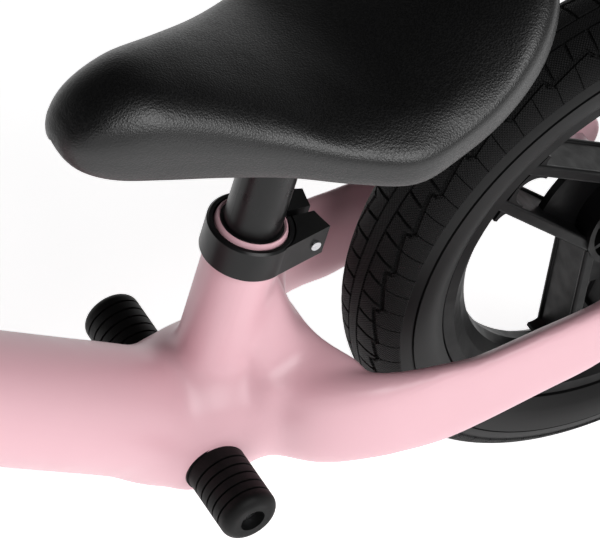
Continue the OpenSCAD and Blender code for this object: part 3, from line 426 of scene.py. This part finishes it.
class Finish:
    """Material under construction, with short ways to add its nodes."""

    def __init__(self, name, colour, rough, metal=0.0):
        self.material = bpy.data.materials.new(name)
        self.material.use_nodes = True
        self.tree = self.material.node_tree
        self.shader = self.tree.nodes["Principled BSDF"]
        self.shader.inputs["Base Color"].default_value = (*colour, 1)
        self.shader.inputs["Roughness"].default_value = rough
        self.shader.inputs["Metallic"].default_value = metal
        self.material.diffuse_color = (*colour, 1)
        self.colour = colour

    def add(self, kind, **values):
        """New node of a kind, with its settings."""
        node = self.tree.nodes.new(kind)
        for key, value in values.items():
            setattr(node, key, value)
        return node

    def link(self, a, b):
        """Joins an output to an input."""
        self.tree.links.new(a, b)

    def place(self, uv=None):
        """Output that holds a point's place on the object, or in its unwrapped tread."""
        if uv:
            return self.add("ShaderNodeUVMap", uv_map=uv).outputs["UV"]
        return self.add("ShaderNodeTexCoord").outputs["Object"]

    def noise(self, scale, detail=2.0, rough=0.5):
        """Cloudy value that varies over the object, scale times in a metre."""
        node = self.add("ShaderNodeTexNoise")
        node.inputs["Scale"].default_value = scale
        node.inputs["Detail"].default_value = detail
        node.inputs["Roughness"].default_value = rough
        self.link(self.place(), node.inputs["Vector"])
        return node.outputs["Fac"]

    def cells(self, scale, smooth):
        """Pebbled value, scale cells in a metre, with softened borders."""
        node = self.add("ShaderNodeTexVoronoi", feature="SMOOTH_F1")
        node.inputs["Scale"].default_value = scale
        node.inputs["Smoothness"].default_value = smooth
        self.link(self.place(), node.inputs["Vector"])
        return node.outputs["Distance"]

    def ranged(self, value, low, high, start=0.0, end=1.0):
        """Value spread from start..end of its own range to low..high."""
        node = self.add("ShaderNodeMapRange")
        node.inputs["From Min"].default_value = start
        node.inputs["From Max"].default_value = end
        node.inputs["To Min"].default_value = low
        node.inputs["To Max"].default_value = high
        self.link(value, node.inputs["Value"])
        return node.outputs["Result"]

    def math(self, operation, a, b=None, c=None):
        """Outcome of a maths operation on values or numbers."""
        node = self.add("ShaderNodeMath", operation=operation)
        for socket, value in zip(node.inputs, (a, b, c)):
            if isinstance(value, (int, float)):
                socket.default_value = value
            elif value is not None:
                self.link(value, socket)
        return node.outputs["Value"]

    def mottle(self, value, low, high):
        """Base colour that varies from low to high shares of the finish's colour."""
        node = self.add("ShaderNodeMix", data_type="RGBA")
        dark = [c * low for c in self.colour]
        light = [min(1.0, c * high) for c in self.colour]
        node.inputs["A"].default_value = (*dark, 1)
        node.inputs["B"].default_value = (*light, 1)
        self.link(value, node.inputs["Factor"])
        self.link(node.outputs["Result"], self.shader.inputs["Base Color"])

    def roughness(self, value):
        """Lets a value set the roughness."""
        self.link(value, self.shader.inputs["Roughness"])

    def bump(self, value, depth, under=None):
        """Relief of a height value, to a depth in millimetres, over another relief."""
        node = self.add("ShaderNodeBump")
        node.inputs["Strength"].default_value = 1.0
        node.inputs["Distance"].default_value = depth * MM
        self.link(value, node.inputs["Height"])
        if under is not None:
            self.link(under, node.inputs["Normal"])
        self.link(node.outputs["Normal"], self.shader.inputs["Normal"])
        return node.outputs["Normal"]

    def shine(self, **values):
        """Plain numbers on the shader's own sockets, by their names with spaces for _."""
        for key, value in values.items():
            self.shader.inputs[key.replace("_", " ")].default_value = value


def powder_coat():
    """Light pink satin powder coat, with a faint orange peel."""
    look = bpy.context.scene.bike_colours
    finish = Finish("frame_paint", tuple(look.paint), 0.4)
    finish.mottle(finish.noise(9, 3), 0.975, 1.02)
    finish.roughness(finish.ranged(finish.noise(60, 3), 0.36, 0.46, 0.3, 0.7))
    peel = finish.bump(finish.noise(520, 1.5), 0.02)
    finish.bump(finish.noise(2600, 1), 0.004, peel)
    finish.shine(Coat_Weight=0.15, Coat_Roughness=0.3)
    return finish.material


def leathercloth():
    """Black leathercloth with a fine creased grain over foam that is not quite even."""
    look = bpy.context.scene.bike_colours
    finish = Finish("saddle_cover", tuple(look.leather), 0.4)
    finish.mottle(finish.noise(35, 4), 0.75, 1.3)
    grain = finish.cells(1050, 0.3)
    finish.roughness(finish.ranged(grain, 0.3, 0.46, 0.0, 0.75))
    foam = finish.bump(finish.noise(24, 2), 0.8)
    creases = finish.bump(finish.noise(520, 4, 0.6), 0.07, foam)
    finish.bump(finish.math("MULTIPLY", grain, -1.0), 0.1, creases)
    finish.shine(Specular_IOR_Level=0.6)
    return finish.material


def satin_metal(name, rough, grain, depth):
    """Black coated metal with a blasted grain."""
    look = bpy.context.scene.bike_colours
    finish = Finish(name, tuple(look.alloy), rough)
    finish.mottle(finish.noise(25, 3), 0.85, 1.15)
    finish.roughness(finish.ranged(finish.noise(90, 3), rough - 0.05, rough + 0.07, 0.3, 0.7))
    finish.bump(finish.noise(grain, 2), depth)
    finish.shine(Specular_IOR_Level=0.3)
    return finish.material


def bare_metal(name, colour, rough, brushed=400.0):
    """Plated or ground metal."""
    finish = Finish(name, colour, rough, 1.0)
    finish.mottle(finish.noise(180, 3), 0.88, 1.05)
    finish.roughness(finish.ranged(finish.noise(brushed, 4), rough - 0.06, rough + 0.1, 0.3, 0.7))
    finish.bump(finish.noise(brushed * 3, 2), 0.006)
    return finish.material


def moulded(name, colour, rough, grain, depth, gloss=0.28):
    """Moulded plastic or rubber with an even spark-etched grain."""
    finish = Finish(name, colour, rough)
    finish.mottle(finish.noise(28, 4), 0.85, 1.18)
    finish.roughness(finish.ranged(finish.noise(140, 3), rough - 0.06, rough + 0.08, 0.3, 0.7))
    finish.bump(finish.noise(grain, 2), depth)
    finish.shine(Specular_IOR_Level=gloss)
    return finish.material


def tread_rubber():
    """Tyre rubber: knurled tread, smoother sidewalls with a faint bloom."""
    look = bpy.context.scene.bike_colours
    finish = Finish("tyre_rubber", tuple(look.rubber), 0.6)
    finish.mottle(finish.noise(22, 4), 0.8, 1.2)
    parts = finish.add("ShaderNodeSeparateXYZ")
    finish.link(finish.place("tread"), parts.inputs["Vector"])
    u, v = parts.outputs["X"], parts.outputs["Y"]
    pitch = bpy.context.scene.bike_sizes.knurl / MM
    lines = []
    for sign in (1, -1):
        way = finish.math("MULTIPLY_ADD", v, sign, u)
        wave = finish.math("SINE", finish.math("MULTIPLY", way, math.pi / pitch / math.sqrt(2)))
        lines.append(finish.math("ABSOLUTE", wave))
    knurl = finish.math("MULTIPLY", *lines)
    edge = finish.ranged(finish.math("ABSOLUTE", v), 1.0, 0.0, KNURL_END, KNURL_END + 0.7)
    relief = finish.math("MULTIPLY", knurl, edge)
    fine = finish.bump(finish.noise(1300, 2), 0.02)
    finish.bump(relief, KNURL_DEPTH, fine)
    finish.roughness(finish.ranged(edge, 0.46, 0.68))
    finish.shine(Specular_IOR_Level=0.2)
    return finish.material


def slot_finishes():
    """Materials by the record's material slots."""
    return {
        "frame_paint": powder_coat(),
        "saddle_cover": leathercloth(),
        "black_alloy": satin_metal("black_alloy", 0.34, 900, 0.012),
        "black_steel_tube": satin_metal("black_steel_tube", 0.3, 500, 0.006),
        "zinc_steel": bare_metal("zinc_steel", (0.72, 0.73, 0.75), 0.27),
        "steerer_steel": bare_metal("steerer_steel", (0.55, 0.55, 0.57), 0.34),
        "bearing_steel": bare_metal("bearing_steel", (0.76, 0.77, 0.79), 0.16, 900),
        "alloy_core": bare_metal("alloy_core", (0.72, 0.72, 0.74), 0.36),
        "black_plastic": moulded("black_plastic", (0.005, 0.005, 0.0052), 0.5, 1100, 0.02),
        "wheel_nylon": moulded("wheel_nylon", (0.004, 0.004, 0.0043), 0.42, 1200, 0.014, 0.14),
        "grip_rubber": moulded("grip_rubber", (0.004, 0.004, 0.0041), 0.55, 900, 0.02, 0.18),
        "tyre_rubber": tread_rubber(),
        "tube_rubber": moulded("tube_rubber", (0.03, 0.03, 0.031), 0.5, 700, 0.02),
        "brass_valve": bare_metal("brass_valve", (0.7, 0.52, 0.25), 0.28),
    }


FINISHES = {}


def give_finish(piece, slot):
    """Puts a slot's material on all of a piece."""
    if not FINISHES:
        FINISHES.update(slot_finishes())
    piece.data.materials.clear()
    piece.data.materials.append(FINISHES[slot])


def dress(piece, body, slot, *nodes):
    """Finishes a piece, fixes it to its body and puts it in place of CAD nodes."""
    give_finish(piece, slot)
    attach(piece, body)
    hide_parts(*nodes)


# ---------- sizes and colours a user would change ----------

COLOUR = {"subtype": "COLOR", "size": 3, "min": 0, "max": 1}
LENGTH = {"subtype": "DISTANCE", "unit": "LENGTH"}


class BikeColours(bpy.types.PropertyGroup):
    """Colours of the bike's finishes"""

    paint: FloatVectorProperty(
        name="Frame paint",
        description="Colour of the powder coat on the frame and fork",
        default=(0.785, 0.462, 0.517),
        **COLOUR,
    )
    leather: FloatVectorProperty(
        name="Saddle cover",
        description="Colour of the saddle's leathercloth",
        default=(0.003, 0.003, 0.0032),
        **COLOUR,
    )
    alloy: FloatVectorProperty(
        name="Black metal",
        description="Colour of the coated clamps, cups and tubes",
        default=(0.004, 0.004, 0.0043),
        **COLOUR,
    )
    rubber: FloatVectorProperty(
        name="Tyre rubber",
        description="Colour of both tyres",
        default=(0.004, 0.004, 0.0042),
        **COLOUR,
    )


class BikeSizes(bpy.types.PropertyGroup):
    """Sizes of the castings, the saddle cover and the tread"""

    cell: FloatProperty(
        name="Casting cell",
        description="Size of the grid that the cast skins are drawn on",
        default=0.0015,
        min=0.001,
        max=0.004,
        **LENGTH,
    )
    blend: FloatProperty(
        name="Casting blend",
        description="How far the casting's edges and corners are softened",
        default=0.0034,
        min=0.001,
        max=0.008,
        **LENGTH,
    )
    laterals: IntProperty(
        name="Cross grooves",
        description="Cross grooves round each tyre",
        default=75,
        min=30,
        max=120,
    )
    groove: FloatProperty(
        name="Groove depth",
        description="Depth of the tread's wide grooves",
        default=0.0014,
        min=0.0002,
        max=0.003,
        **LENGTH,
    )
    hem: FloatProperty(
        name="Hem",
        description="Height of the saddle cover's lower edge that the base holds fast",
        default=0.006,
        min=0.002,
        max=0.012,
        **LENGTH,
    )
    swell: FloatProperty(
        name="Cover swell",
        description="How far the saddle cover may stand out over its foam",
        default=0.003,
        min=0.0005,
        max=0.01,
        **LENGTH,
    )
    knurl: FloatProperty(
        name="Knurl pitch",
        description="Distance between the fine crossed lines on the tread",
        default=0.00115,
        min=0.0005,
        max=0.003,
        **LENGTH,
    )


class BikeStudio(bpy.types.PropertyGroup):
    """Lights and floor of the studio"""

    key: FloatProperty(
        name="Key light", description="Power of the large soft light", unit="POWER", default=72.0, min=0
    )
    side: FloatProperty(
        name="Side light",
        description="Power of the light ahead of the bike",
        unit="POWER",
        default=6.0,
        min=0,
    )
    horizon: FloatProperty(
        name="Surround", description="Strength of the pale surround at eye level", default=0.4, min=0, max=4
    )
    overhead: FloatProperty(
        name="Overhead", description="Strength of the surround overhead", default=0.018, min=0, max=4
    )
    floor: FloatVectorProperty(
        name="Floor", description="Colour of the studio floor", default=(0.9, 0.9, 0.9), **COLOUR
    )
    floor_glow: FloatProperty(
        name="Floor glow",
        description="Light that the pale floor gives off itself",
        default=0.86,
        min=0,
        max=2,
    )


# ---------- stage ----------


def add_camera(scene):
    """Camera with a long lens at the studio's place."""
    lens = bpy.data.cameras.new("studio_camera")
    lens.lens = CAMERA_LENS
    lens.sensor_width = CAMERA_SENSOR
    lens.clip_end = CAMERA_REACH
    camera = bpy.data.objects.new("studio_camera", lens)
    camera.location = CAMERA_PLACE
    aim = Vector(CAMERA_AIM) - camera.location
    camera.rotation_euler = aim.to_track_quat("-Z", "Y").to_euler()
    scene.collection.objects.link(camera)
    scene.camera = camera


def add_surround(scene, studio):
    """White surround that is brighter at eye level than overhead."""
    world = bpy.data.worlds.new("white_surround")
    world.use_nodes = True
    tree = world.node_tree
    back = tree.nodes["Background"]
    back.inputs["Color"].default_value = (1, 1, 1, 1)
    way = tree.nodes.new("ShaderNodeSeparateXYZ")
    tree.links.new(tree.nodes.new("ShaderNodeTexCoord").outputs["Generated"], way.inputs["Vector"])
    fade = tree.nodes.new("ShaderNodeMapRange")
    fade.interpolation_type = "SMOOTHSTEP"
    fade.inputs["From Min"].default_value = SURROUND_LOW
    fade.inputs["From Max"].default_value = SURROUND_HIGH
    fade.inputs["To Min"].default_value = studio.horizon
    fade.inputs["To Max"].default_value = studio.overhead
    tree.links.new(way.outputs["Z"], fade.inputs["Value"])
    tree.links.new(fade.outputs["Result"], back.inputs["Strength"])
    scene.world = world


def add_floor(scene, studio):
    """Pale floor with a faint glow of its own."""
    corners = [(x * FLOOR_HALF, y * FLOOR_HALF, 0) for x, y in ((-1, -1), (1, -1), (1, 1), (-1, 1))]
    mesh = bpy.data.meshes.new("studio_floor")
    mesh.from_pydata(corners, [], [(0, 1, 2, 3)])
    floor = bpy.data.objects.new("studio_floor", mesh)
    scene.collection.objects.link(floor)
    paint = Finish("studio_floor", tuple(studio.floor), 0.9)
    paint.mottle(paint.noise(3, 2), 0.995, 1.005)
    paint.shine(Emission_Color=(1, 1, 1, 1), Emission_Strength=studio.floor_glow)
    mesh.materials.append(paint.material)


def add_lamps(scene, studio):
    """Round soft lamps that aim a little above the floor."""
    for name, power, way, distance, size in LAMPS:
        light = bpy.data.lights.new(name, "AREA")
        light.shape = "DISK"
        light.size = size
        light.energy = getattr(studio, power)
        lamp = bpy.data.objects.new(name, light)
        lamp.location = Vector(way).normalized() * distance + LAMP_AIM
        lamp.rotation_euler = (-Vector(way)).to_track_quat("-Z", "Y").to_euler()
        scene.collection.objects.link(lamp)


class BIKE_OT_stage(bpy.types.Operator):
    """Sets up the camera, the pale floor and the soft lights"""

    bl_idname = "bike.stage"
    bl_label = "Studio"

    def execute(self, context):
        scene = context.scene
        scene.view_settings.view_transform = "Standard"
        add_camera(scene)
        add_surround(scene, scene.bike_studio)
        add_floor(scene, scene.bike_studio)
        add_lamps(scene, scene.bike_studio)
        return {"FINISHED"}


# ---------- frame and fork ----------


def form_body(cast):
    """Swells the frame round the seat tube's foot, runs the web to the crotch and rounds the crotch out."""
    cast.join(cast.egg(SWELL_PLACE, SWELL_RADII), SWELL_FILLET)
    web = cast.ramp(WEB_SPINE, WEB_FOOT, WEB_SPREAD)
    for wall in (cast.x - WEB_FRONT, WEB_REAR - cast.x, abs(cast.y) - WEB_SIDE, WEB_BOTTOM - cast.z):
        web = np.maximum(web, wall)
    cast.join(web, WEB_FILLET)
    crotch = np.sqrt((cast.x - CROTCH_X + CROTCH_R) ** 2 + cast.y ** 2) - CROTCH_R
    cast.clear(np.where(cast.x > CROTCH_X - CROTCH_R, crotch, cast.band))


def frame_cutters():
    """Cutters that open the frame's bores, with their small chamfers, its slot and its washer seats."""
    seat_profile = [
        (0, -SEAT_BORE_DEPTH), (SEAT_BORE_R, -SEAT_BORE_DEPTH), (SEAT_BORE_R, -0.7), (SEAT_BORE_R + 0.7, 0),
        (SEAT_TUBE_R - 0.9, 0), (SEAT_TUBE_R - 0.1, -0.8), (SEAT_TUBE_R + 3, -0.8), (SEAT_TUBE_R + 3, 8),
        (0, 8),
    ]
    head_profile = [
        (0, HEAD_LOW - CLEAR), (CLEAR, HEAD_LOW - CLEAR), (CLEAR, HEAD_LOW), (HEAD_MOUTH_R, HEAD_LOW),
        (HEAD_BORE_R, HEAD_LOW + 0.8), (HEAD_BORE_R, HEAD_HIGH - 0.8), (HEAD_MOUTH_R, HEAD_HIGH),
        (CLEAR, HEAD_HIGH), (CLEAR, HEAD_HIGH + 12), (0, HEAD_HIGH + 12),
    ]
    slot = SEAT_SLOT_W / 2
    cutters = [
        turned("cut_seat", seat_profile, SEAT),
        block("cut_slot", ((-SEAT_SLOT_REACH, -slot, -SEAT_SLOT_DEPTH), (0, slot, 8)), SEAT),
        turned("cut_head", head_profile, STEER),
        rod("cut_axle", AXLE_BORE_R, -2 * CLEAR, 2 * CLEAR, along_y(REAR_HUB)),
    ]
    for side in (-1, 1):
        low, high = sorted((side * PEG_BORE_Y, side * PEG_BORE_END))
        cutters.append(rod("cut_peg", PEG_BORE_R, low, high, along_y(PEG_PLACE)))
        low, high = sorted((side * WASHER_SEAT_Y, side * WASHER_SEAT_END))
        cutters.append(rod("cut_washer", WASHER_SEAT_R, low, high, along_y(REAR_HUB), 64))
    return cutters


class BIKE_OT_frame(bpy.types.Operator):
    """Draws the frame's smooth painted casting"""

    bl_idname = "bike.frame"
    bl_label = "Frame casting"

    def execute(self, context):
        sizes = context.scene.bike_sizes
        cast = Casting("frame", sizes.cell / MM)
        # the bores are filled first, so the blend can't wear their walls thin
        cast.plug(SEAT, SEAT_TUBE_R, -SEAT_BORE_DEPTH, PLUG_OVER)
        cast.plug(STEER, HEAD_TUBE_R, HEAD_LOW - PLUG_OVER, HEAD_HIGH + PLUG_OVER)
        cast.plug(along_y(PEG_PLACE), PEG_CORE_R, -PEG_CORE_Y, PEG_CORE_Y)
        for side in (-1, 1):
            dropout = along_y(REAR_HUB + Vector((0, side * DROPOUT_Y, 0)))
            cast.plug(dropout, DROPOUT_CORE_R, -DROPOUT_CORE_HALF, DROPOUT_CORE_HALF)
        form_body(cast)
        crisp, soft = cast.softened(STAY_BLEND), cast.softened(sizes.blend / MM)
        cast.field = crisp + (soft - crisp) * np.clip((cast.x - STAY_START) / STAY_FADE, 0, 1)
        skin = cast.piece("frame_casting")
        cut(skin, frame_cutters())
        dress(skin, "frame", "frame_paint", "frame")
        return {"FINISHED"}


class BIKE_OT_fork(bpy.types.Operator):
    """Draws the fork's smooth painted casting"""

    bl_idname = "bike.fork"
    bl_label = "Fork casting"

    def execute(self, context):
        sizes = context.scene.bike_sizes
        cast = Casting("fork", sizes.cell / MM)
        cast.plug(STEER, CROWN_BOSS_R, CROWN - CROWN_BOSS_DEPTH, CROWN + 1)
        cast.field = cast.softened(sizes.blend / MM * FORK_SOFTNESS)
        skin = cast.piece("fork_casting")
        bore_end = CROWN - STEERER_BORE_DEPTH
        profile = [
            (0, bore_end), (STEERER_BORE_R, bore_end), (STEERER_BORE_R, CROWN - 0.6),
            (STEERER_MOUTH_R, CROWN), (RACE_SEAT_R, CROWN), (RACE_SEAT_R, CROWN + 20), (0, CROWN + 20),
        ]
        cut(skin, [
            turned("cut_steerer", profile, STEER),
            rod("cut_axle", AXLE_BORE_R, -2 * CLEAR, 2 * CLEAR, along_y(FRONT_HUB)),
        ])
        dress(skin, "fork", "frame_paint", "fork")
        return {"FINISHED"}


# ---------- saddle ----------


def signed_power(value, power):
    """Power of a value's size, with the value's own sign."""
    return math.copysign(abs(value) ** power, value)


def spline(stations, steps):
    """Smooth rows through a list of rows of numbers."""
    rows = np.asarray(stations, float)
    last = len(rows) - 1
    out = []
    for i in range(last):
        a, b, c, d = rows[max(i - 1, 0)], rows[i], rows[i + 1], rows[min(i + 2, last)]
        for k in range(steps):
            t = k / steps
            out.append(0.5 * (2 * b + (c - a) * t + (2 * a - 5 * b + 4 * c - d) * t * t
                              + (3 * b - a - 3 * c + d) * t * t * t))
    out.append(rows[last])
    return out


def saddle_ring(x, w, top, edge):
    """Section of the saddle at x: over the top from side to side, then back through its hollow."""
    waist = edge + 0.4 * (top - edge)
    inner = max(w - 7, w * 0.3)
    roof = edge + min(8, 0.2 * (top - edge) + 1.5, 0.4 * (top - edge))
    ring = []
    for k in range(RING_SEGMENTS + 1):
        t = math.pi * k / RING_SEGMENTS
        rise = (top - waist) * math.sin(t) ** RING_TOP_POWER
        ring.append((x, w * signed_power(math.cos(t), RING_SIDE_POWER), waist + rise))
    low = [(-w * 0.98, (waist + edge) / 2), (-max(w - 2.5, w * 0.85), edge), (-inner, edge + 0.5),
           (-inner, roof)]
    return ring + [(x, y, z) for y, z in low] + [(x, -y, z) for y, z in reversed(low)]


def saddle_loft(nose):
    """Closed points and faces of the saddle, back from its nose."""
    rings = []
    for share, width, top, edge in spline(SADDLE_STATIONS, STATION_STEPS):
        x, w = nose - share * SADDLE_LENGTH, width * SADDLE_HALF_WIDTH
        rings.append(saddle_ring(x, w, top + SADDLE_FOOT, edge + SADDLE_FOOT))
    count = len(rings[0])
    faces = [tuple(range(count)), tuple((len(rings) - 1) * count + k for k in reversed(range(count)))]
    for i in range(len(rings) - 1):
        for j in range(count):
            n = (j + 1) % count
            faces.append((i * count + j, (i + 1) * count + j, (i + 1) * count + n, i * count + n))
    return [p for ring in rings for p in ring], faces


def hem_height(points, step=0.004):
    """Height of the lowest edge under each point, as one even line along the piece."""
    places = np.arange(points[:, 0].min(), points[:, 0].max() + step, step)
    low = np.array([points[np.abs(points[:, 0] - x) < 2 * step, 2].min() for x in places])
    for _ in range(3):
        low[1:-1] = (low[:-2] + 2 * low[1:-1] + low[2:]) / 4
    return np.interp(points[:, 0], places, low)


def add_cloth(piece, held):
    """Gives a piece a cloth under pressure, held fast by a share from 0 to 1 at each point."""
    group = piece.vertex_groups.new(name="hem")
    for k, weight in enumerate(held.tolist()):
        if weight > 0:
            group.add([k], weight, "REPLACE")
    cloth = piece.modifiers.new("pull", "CLOTH")
    cloth.settings.vertex_group_mass = "hem"
    cloth.settings.use_pressure = True
    cloth.settings.uniform_pressure_force = CLOTH_PRESSURE
    cloth.settings.effector_weights.gravity = 0
    cloth.settings.tension_stiffness = CLOTH_STRETCH
    cloth.settings.compression_stiffness = CLOTH_STRETCH
    cloth.settings.bending_stiffness = CLOTH_BEND
    cloth.point_cache.frame_start, cloth.point_cache.frame_end = 1, CLOTH_FRAMES


def stretch(piece, sizes):
    """Pulls the cover over its foam: swells it under pressure with its hem held fast."""
    mesh = piece.data
    start = vertex_rows(mesh)
    above = start[:, 2] - hem_height(start)
    along = start[:, 0]
    from_end = np.minimum(along - along.min(), along.max() - along)
    held = np.clip(1 - (np.minimum(above - sizes.hem, from_end)) / sizes.hem, 0, 1)
    loose = (1 - held)[:, None]
    shrunk = start - vertex_rows(mesh, "normal") * sizes.swell * 0.5 * loose
    mesh.vertices.foreach_set("co", shrunk.ravel())
    mesh.update()
    add_cloth(piece, held)
    scene = bpy.context.scene
    for number in range(1, CLOTH_FRAMES + 1):
        scene.frame_set(number)
    swollen = evaluated_mesh(piece)
    moved = vertex_rows(swollen) - vertex_rows(mesh)
    bpy.data.meshes.remove(swollen)
    piece.modifiers.clear()
    far = np.linalg.norm(moved, axis=1, keepdims=True)
    moved *= np.minimum(1, sizes.swell / np.maximum(far, 1e-9))
    mesh.vertices.foreach_set("co", (vertex_rows(mesh) + moved).ravel())
    mesh.update()
    scene.frame_set(1)


class BIKE_OT_saddle(bpy.types.Operator):
    """Builds the padded saddle's stretched leathercloth cover"""

    bl_idname = "bike.saddle"
    bl_label = "Saddle cover"

    def execute(self, context):
        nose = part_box("saddle_pad")[1][0] / MM
        cover = tidy(new_piece("saddle_cover", *saddle_loft(nose)))
        # the cloth takes a while
        stretch(cover, context.scene.bike_sizes)
        finer = cover.modifiers.new("fine", "SUBSURF")
        finer.levels = finer.render_levels = 1
        freeze(cover)
        cover.data.shade_smooth()
        dress(cover, "saddle", "saddle_cover", "saddle_pad")
        return {"FINISHED"}


# ---------- tyres ----------


def tyre_outline():
    """Radius and half width along the tyre's skin, by distance from the crown line."""
    turns = np.radians(np.linspace(90, -41.5, 900))
    r = SECTION_MIDDLE + SECTION_DEEP * np.sign(np.sin(turns)) * np.abs(np.sin(turns)) ** SECTION_POWER
    y = TYRE_HALF_WIDTH * np.abs(np.cos(turns)) ** SECTION_POWER
    s = np.concatenate([[0], np.cumsum(np.hypot(np.diff(r), np.diff(y)))])
    return s, r, y


def tread_grid(laterals, depth, end):
    """Distance round and across the tyre, and depth sunk, of each point on its outer skin.

    Columns run round the tyre and rows across it, out to an end distance from the crown line.
    """
    half = [*TREAD_ROWS, (end, 0)]
    rows = [(-v, d) for v, d in reversed(half[1:])] + half
    across = np.array([v for v, _ in rows])
    ringed = np.array([d for _, d in rows]) * depth
    mag = np.abs(across)
    pitch = 2 * math.pi * TYRE_RADIUS / laterals
    slant = np.interp(mag, [4, 28.5], [4.4, 0])
    grooved = (mag > GROOVE_START) & (mag < GROOVE_END)
    half_width = np.where(mag < GROOVE_NARROWS, GROOVE_WIDE, GROOVE_THIN)
    floor = np.where(grooved, np.where(mag < GROOVE_NARROWS, 1.0, THIN_SHARE), 0) * depth
    around, sunk = [], []
    for k in range(laterals):
        for share, is_floor in GROOVE_COLUMNS:
            around.append(k * pitch + slant + share * half_width)
            sunk.append(np.maximum(floor, ringed) if is_floor else ringed)
        for share in BLOCK_COLUMNS:
            around.append((k + share) * pitch + slant + half_width * (1 - share))
            sunk.append(ringed)
    around = np.array(around)
    # the slash groove climbs towards the crown over two pitches
    turn = ((around / pitch) % 2) / 2
    lift = np.interp(mag, [5, GROOVE_NARROWS, 26], [0, 1, 0]) * (2.4 - 5.2 * turn)
    return around, across + np.sign(across) * lift, np.array(sunk)


def on_tyre(hub, radius, angle, side):
    """Places at a radius and angle round a hub, to a side of its middle plane."""
    return np.stack([hub.x + radius * np.cos(angle), hub.y + side, hub.z + radius * np.sin(angle)], -1)


class BIKE_OT_tyre(bpy.types.Operator):
    """Moulds a tyre with its grooved and knurled tread"""

    bl_idname = "bike.tyre"
    bl_label = "Tyre"

    wheel: StringProperty(name="Wheel", description="Front or rear", default="rear")

    def execute(self, context):
        sizes = context.scene.bike_sizes
        hub = node_middle(self.wheel + "_axle")
        s, r, y = tyre_outline()
        u, v, sunk = tread_grid(sizes.laterals, sizes.groove / MM, s[-1])
        radius = np.interp(np.abs(v), s, r)
        side = np.interp(np.abs(v), s, y) * np.sign(v)
        to_r, to_y = SECTION_MIDDLE - radius, -side
        length = np.hypot(to_r, to_y)
        angle = u / TYRE_RADIUS
        outer = on_tyre(hub, radius + to_r / length * sunk, angle, side + to_y / length * sunk)

        # bead and inner skin close the section
        columns = len(u)
        loop = BEAD + [(a, -b) for a, b in reversed(BEAD)]
        closing = [on_tyre(hub, a, angle[:, -1], np.full(columns, float(b))) for a, b in loop]
        points = np.concatenate([outer, np.stack(closing, 1)], 1)
        u = np.concatenate([u, np.repeat(u[:, -1:], len(loop), 1)], 1)
        v = np.concatenate([v, np.full((columns, len(loop)), s[-1] + 9)], 1)

        rows = points.shape[1]
        faces, uvs = [], []
        for i in range(columns):
            n = (i + 1) % columns
            lap = 2 * math.pi * TYRE_RADIUS if n == 0 else 0
            for j in range(rows):
                m = (j + 1) % rows
                faces.append((i * rows + j, n * rows + j, n * rows + m, i * rows + m))
                uvs += [(u[i, j], v[i, j]), (u[n, j] + lap, v[n, j]),
                        (u[n, m] + lap, v[n, m]), (u[i, m], v[i, m])]
        tyre = new_piece(self.wheel + "_tyre_moulding", points.reshape(-1, 3), faces, TREAD_SHARP, uvs)
        dress(tyre, self.wheel + "_wheel", "tyre_rubber", self.wheel + "_tyre")
        return {"FINISHED"}


# ---------- the other parts, the panel and the run ----------


class BIKE_OT_finishes(bpy.types.Operator):
    """Puts each carried-over CAD part in the finish of its material slot"""

    bl_idname = "bike.finishes"
    bl_label = "Part finishes"

    def execute(self, context):
        slots = {part["node"]: part["material_slot"] for part in frame["record"]["subparts"]}
        for name, piece in frame["nodes"].items():
            give_finish(piece, slots[name])
        return {"FINISHED"}


class BIKE_PT_sidebar(bpy.types.Panel):
    """Balance bike tools in the sidebar"""

    bl_idname = "BIKE_PT_sidebar"
    bl_label = "Balance Bike"
    bl_space_type = "VIEW_3D"
    bl_region_type = "UI"
    bl_category = "Balance Bike"

    def draw(self, context):
        scene = context.scene
        for group in (scene.bike_colours, scene.bike_sizes, scene.bike_studio):
            box = self.layout.box()
            for prop in group.bl_rna.properties:
                if prop.identifier not in {"rna_type", "name"}:
                    box.prop(group, prop.identifier)
        for operator in OPERATORS:
            self.layout.operator(operator.bl_idname)


GROUPS = {"bike_colours": BikeColours, "bike_sizes": BikeSizes, "bike_studio": BikeStudio}
OPERATORS = (BIKE_OT_stage, BIKE_OT_frame, BIKE_OT_fork, BIKE_OT_saddle, BIKE_OT_tyre, BIKE_OT_finishes)


def register():
    """Registers the classes and puts their settings on every scene."""
    for cls in (*GROUPS.values(), *OPERATORS, BIKE_PT_sidebar):
        bpy.utils.register_class(cls)
    for name, group in GROUPS.items():
        setattr(bpy.types.Scene, name, PointerProperty(type=group))


def unregister():
    """Takes the settings and the classes away again."""
    for name in GROUPS:
        delattr(bpy.types.Scene, name)
    for cls in reversed((*GROUPS.values(), *OPERATORS, BIKE_PT_sidebar)):
        bpy.utils.unregister_class(cls)


def main():
    """Builds everything."""
    register()
    bpy.ops.bike.stage()
    bpy.ops.bike.finishes()
    bpy.ops.bike.frame()
    bpy.ops.bike.fork()
    bpy.ops.bike.saddle()
    for wheel in ("front", "rear"):
        bpy.ops.bike.tyre(wheel=wheel)


if __name__ == "__main__":
    main()
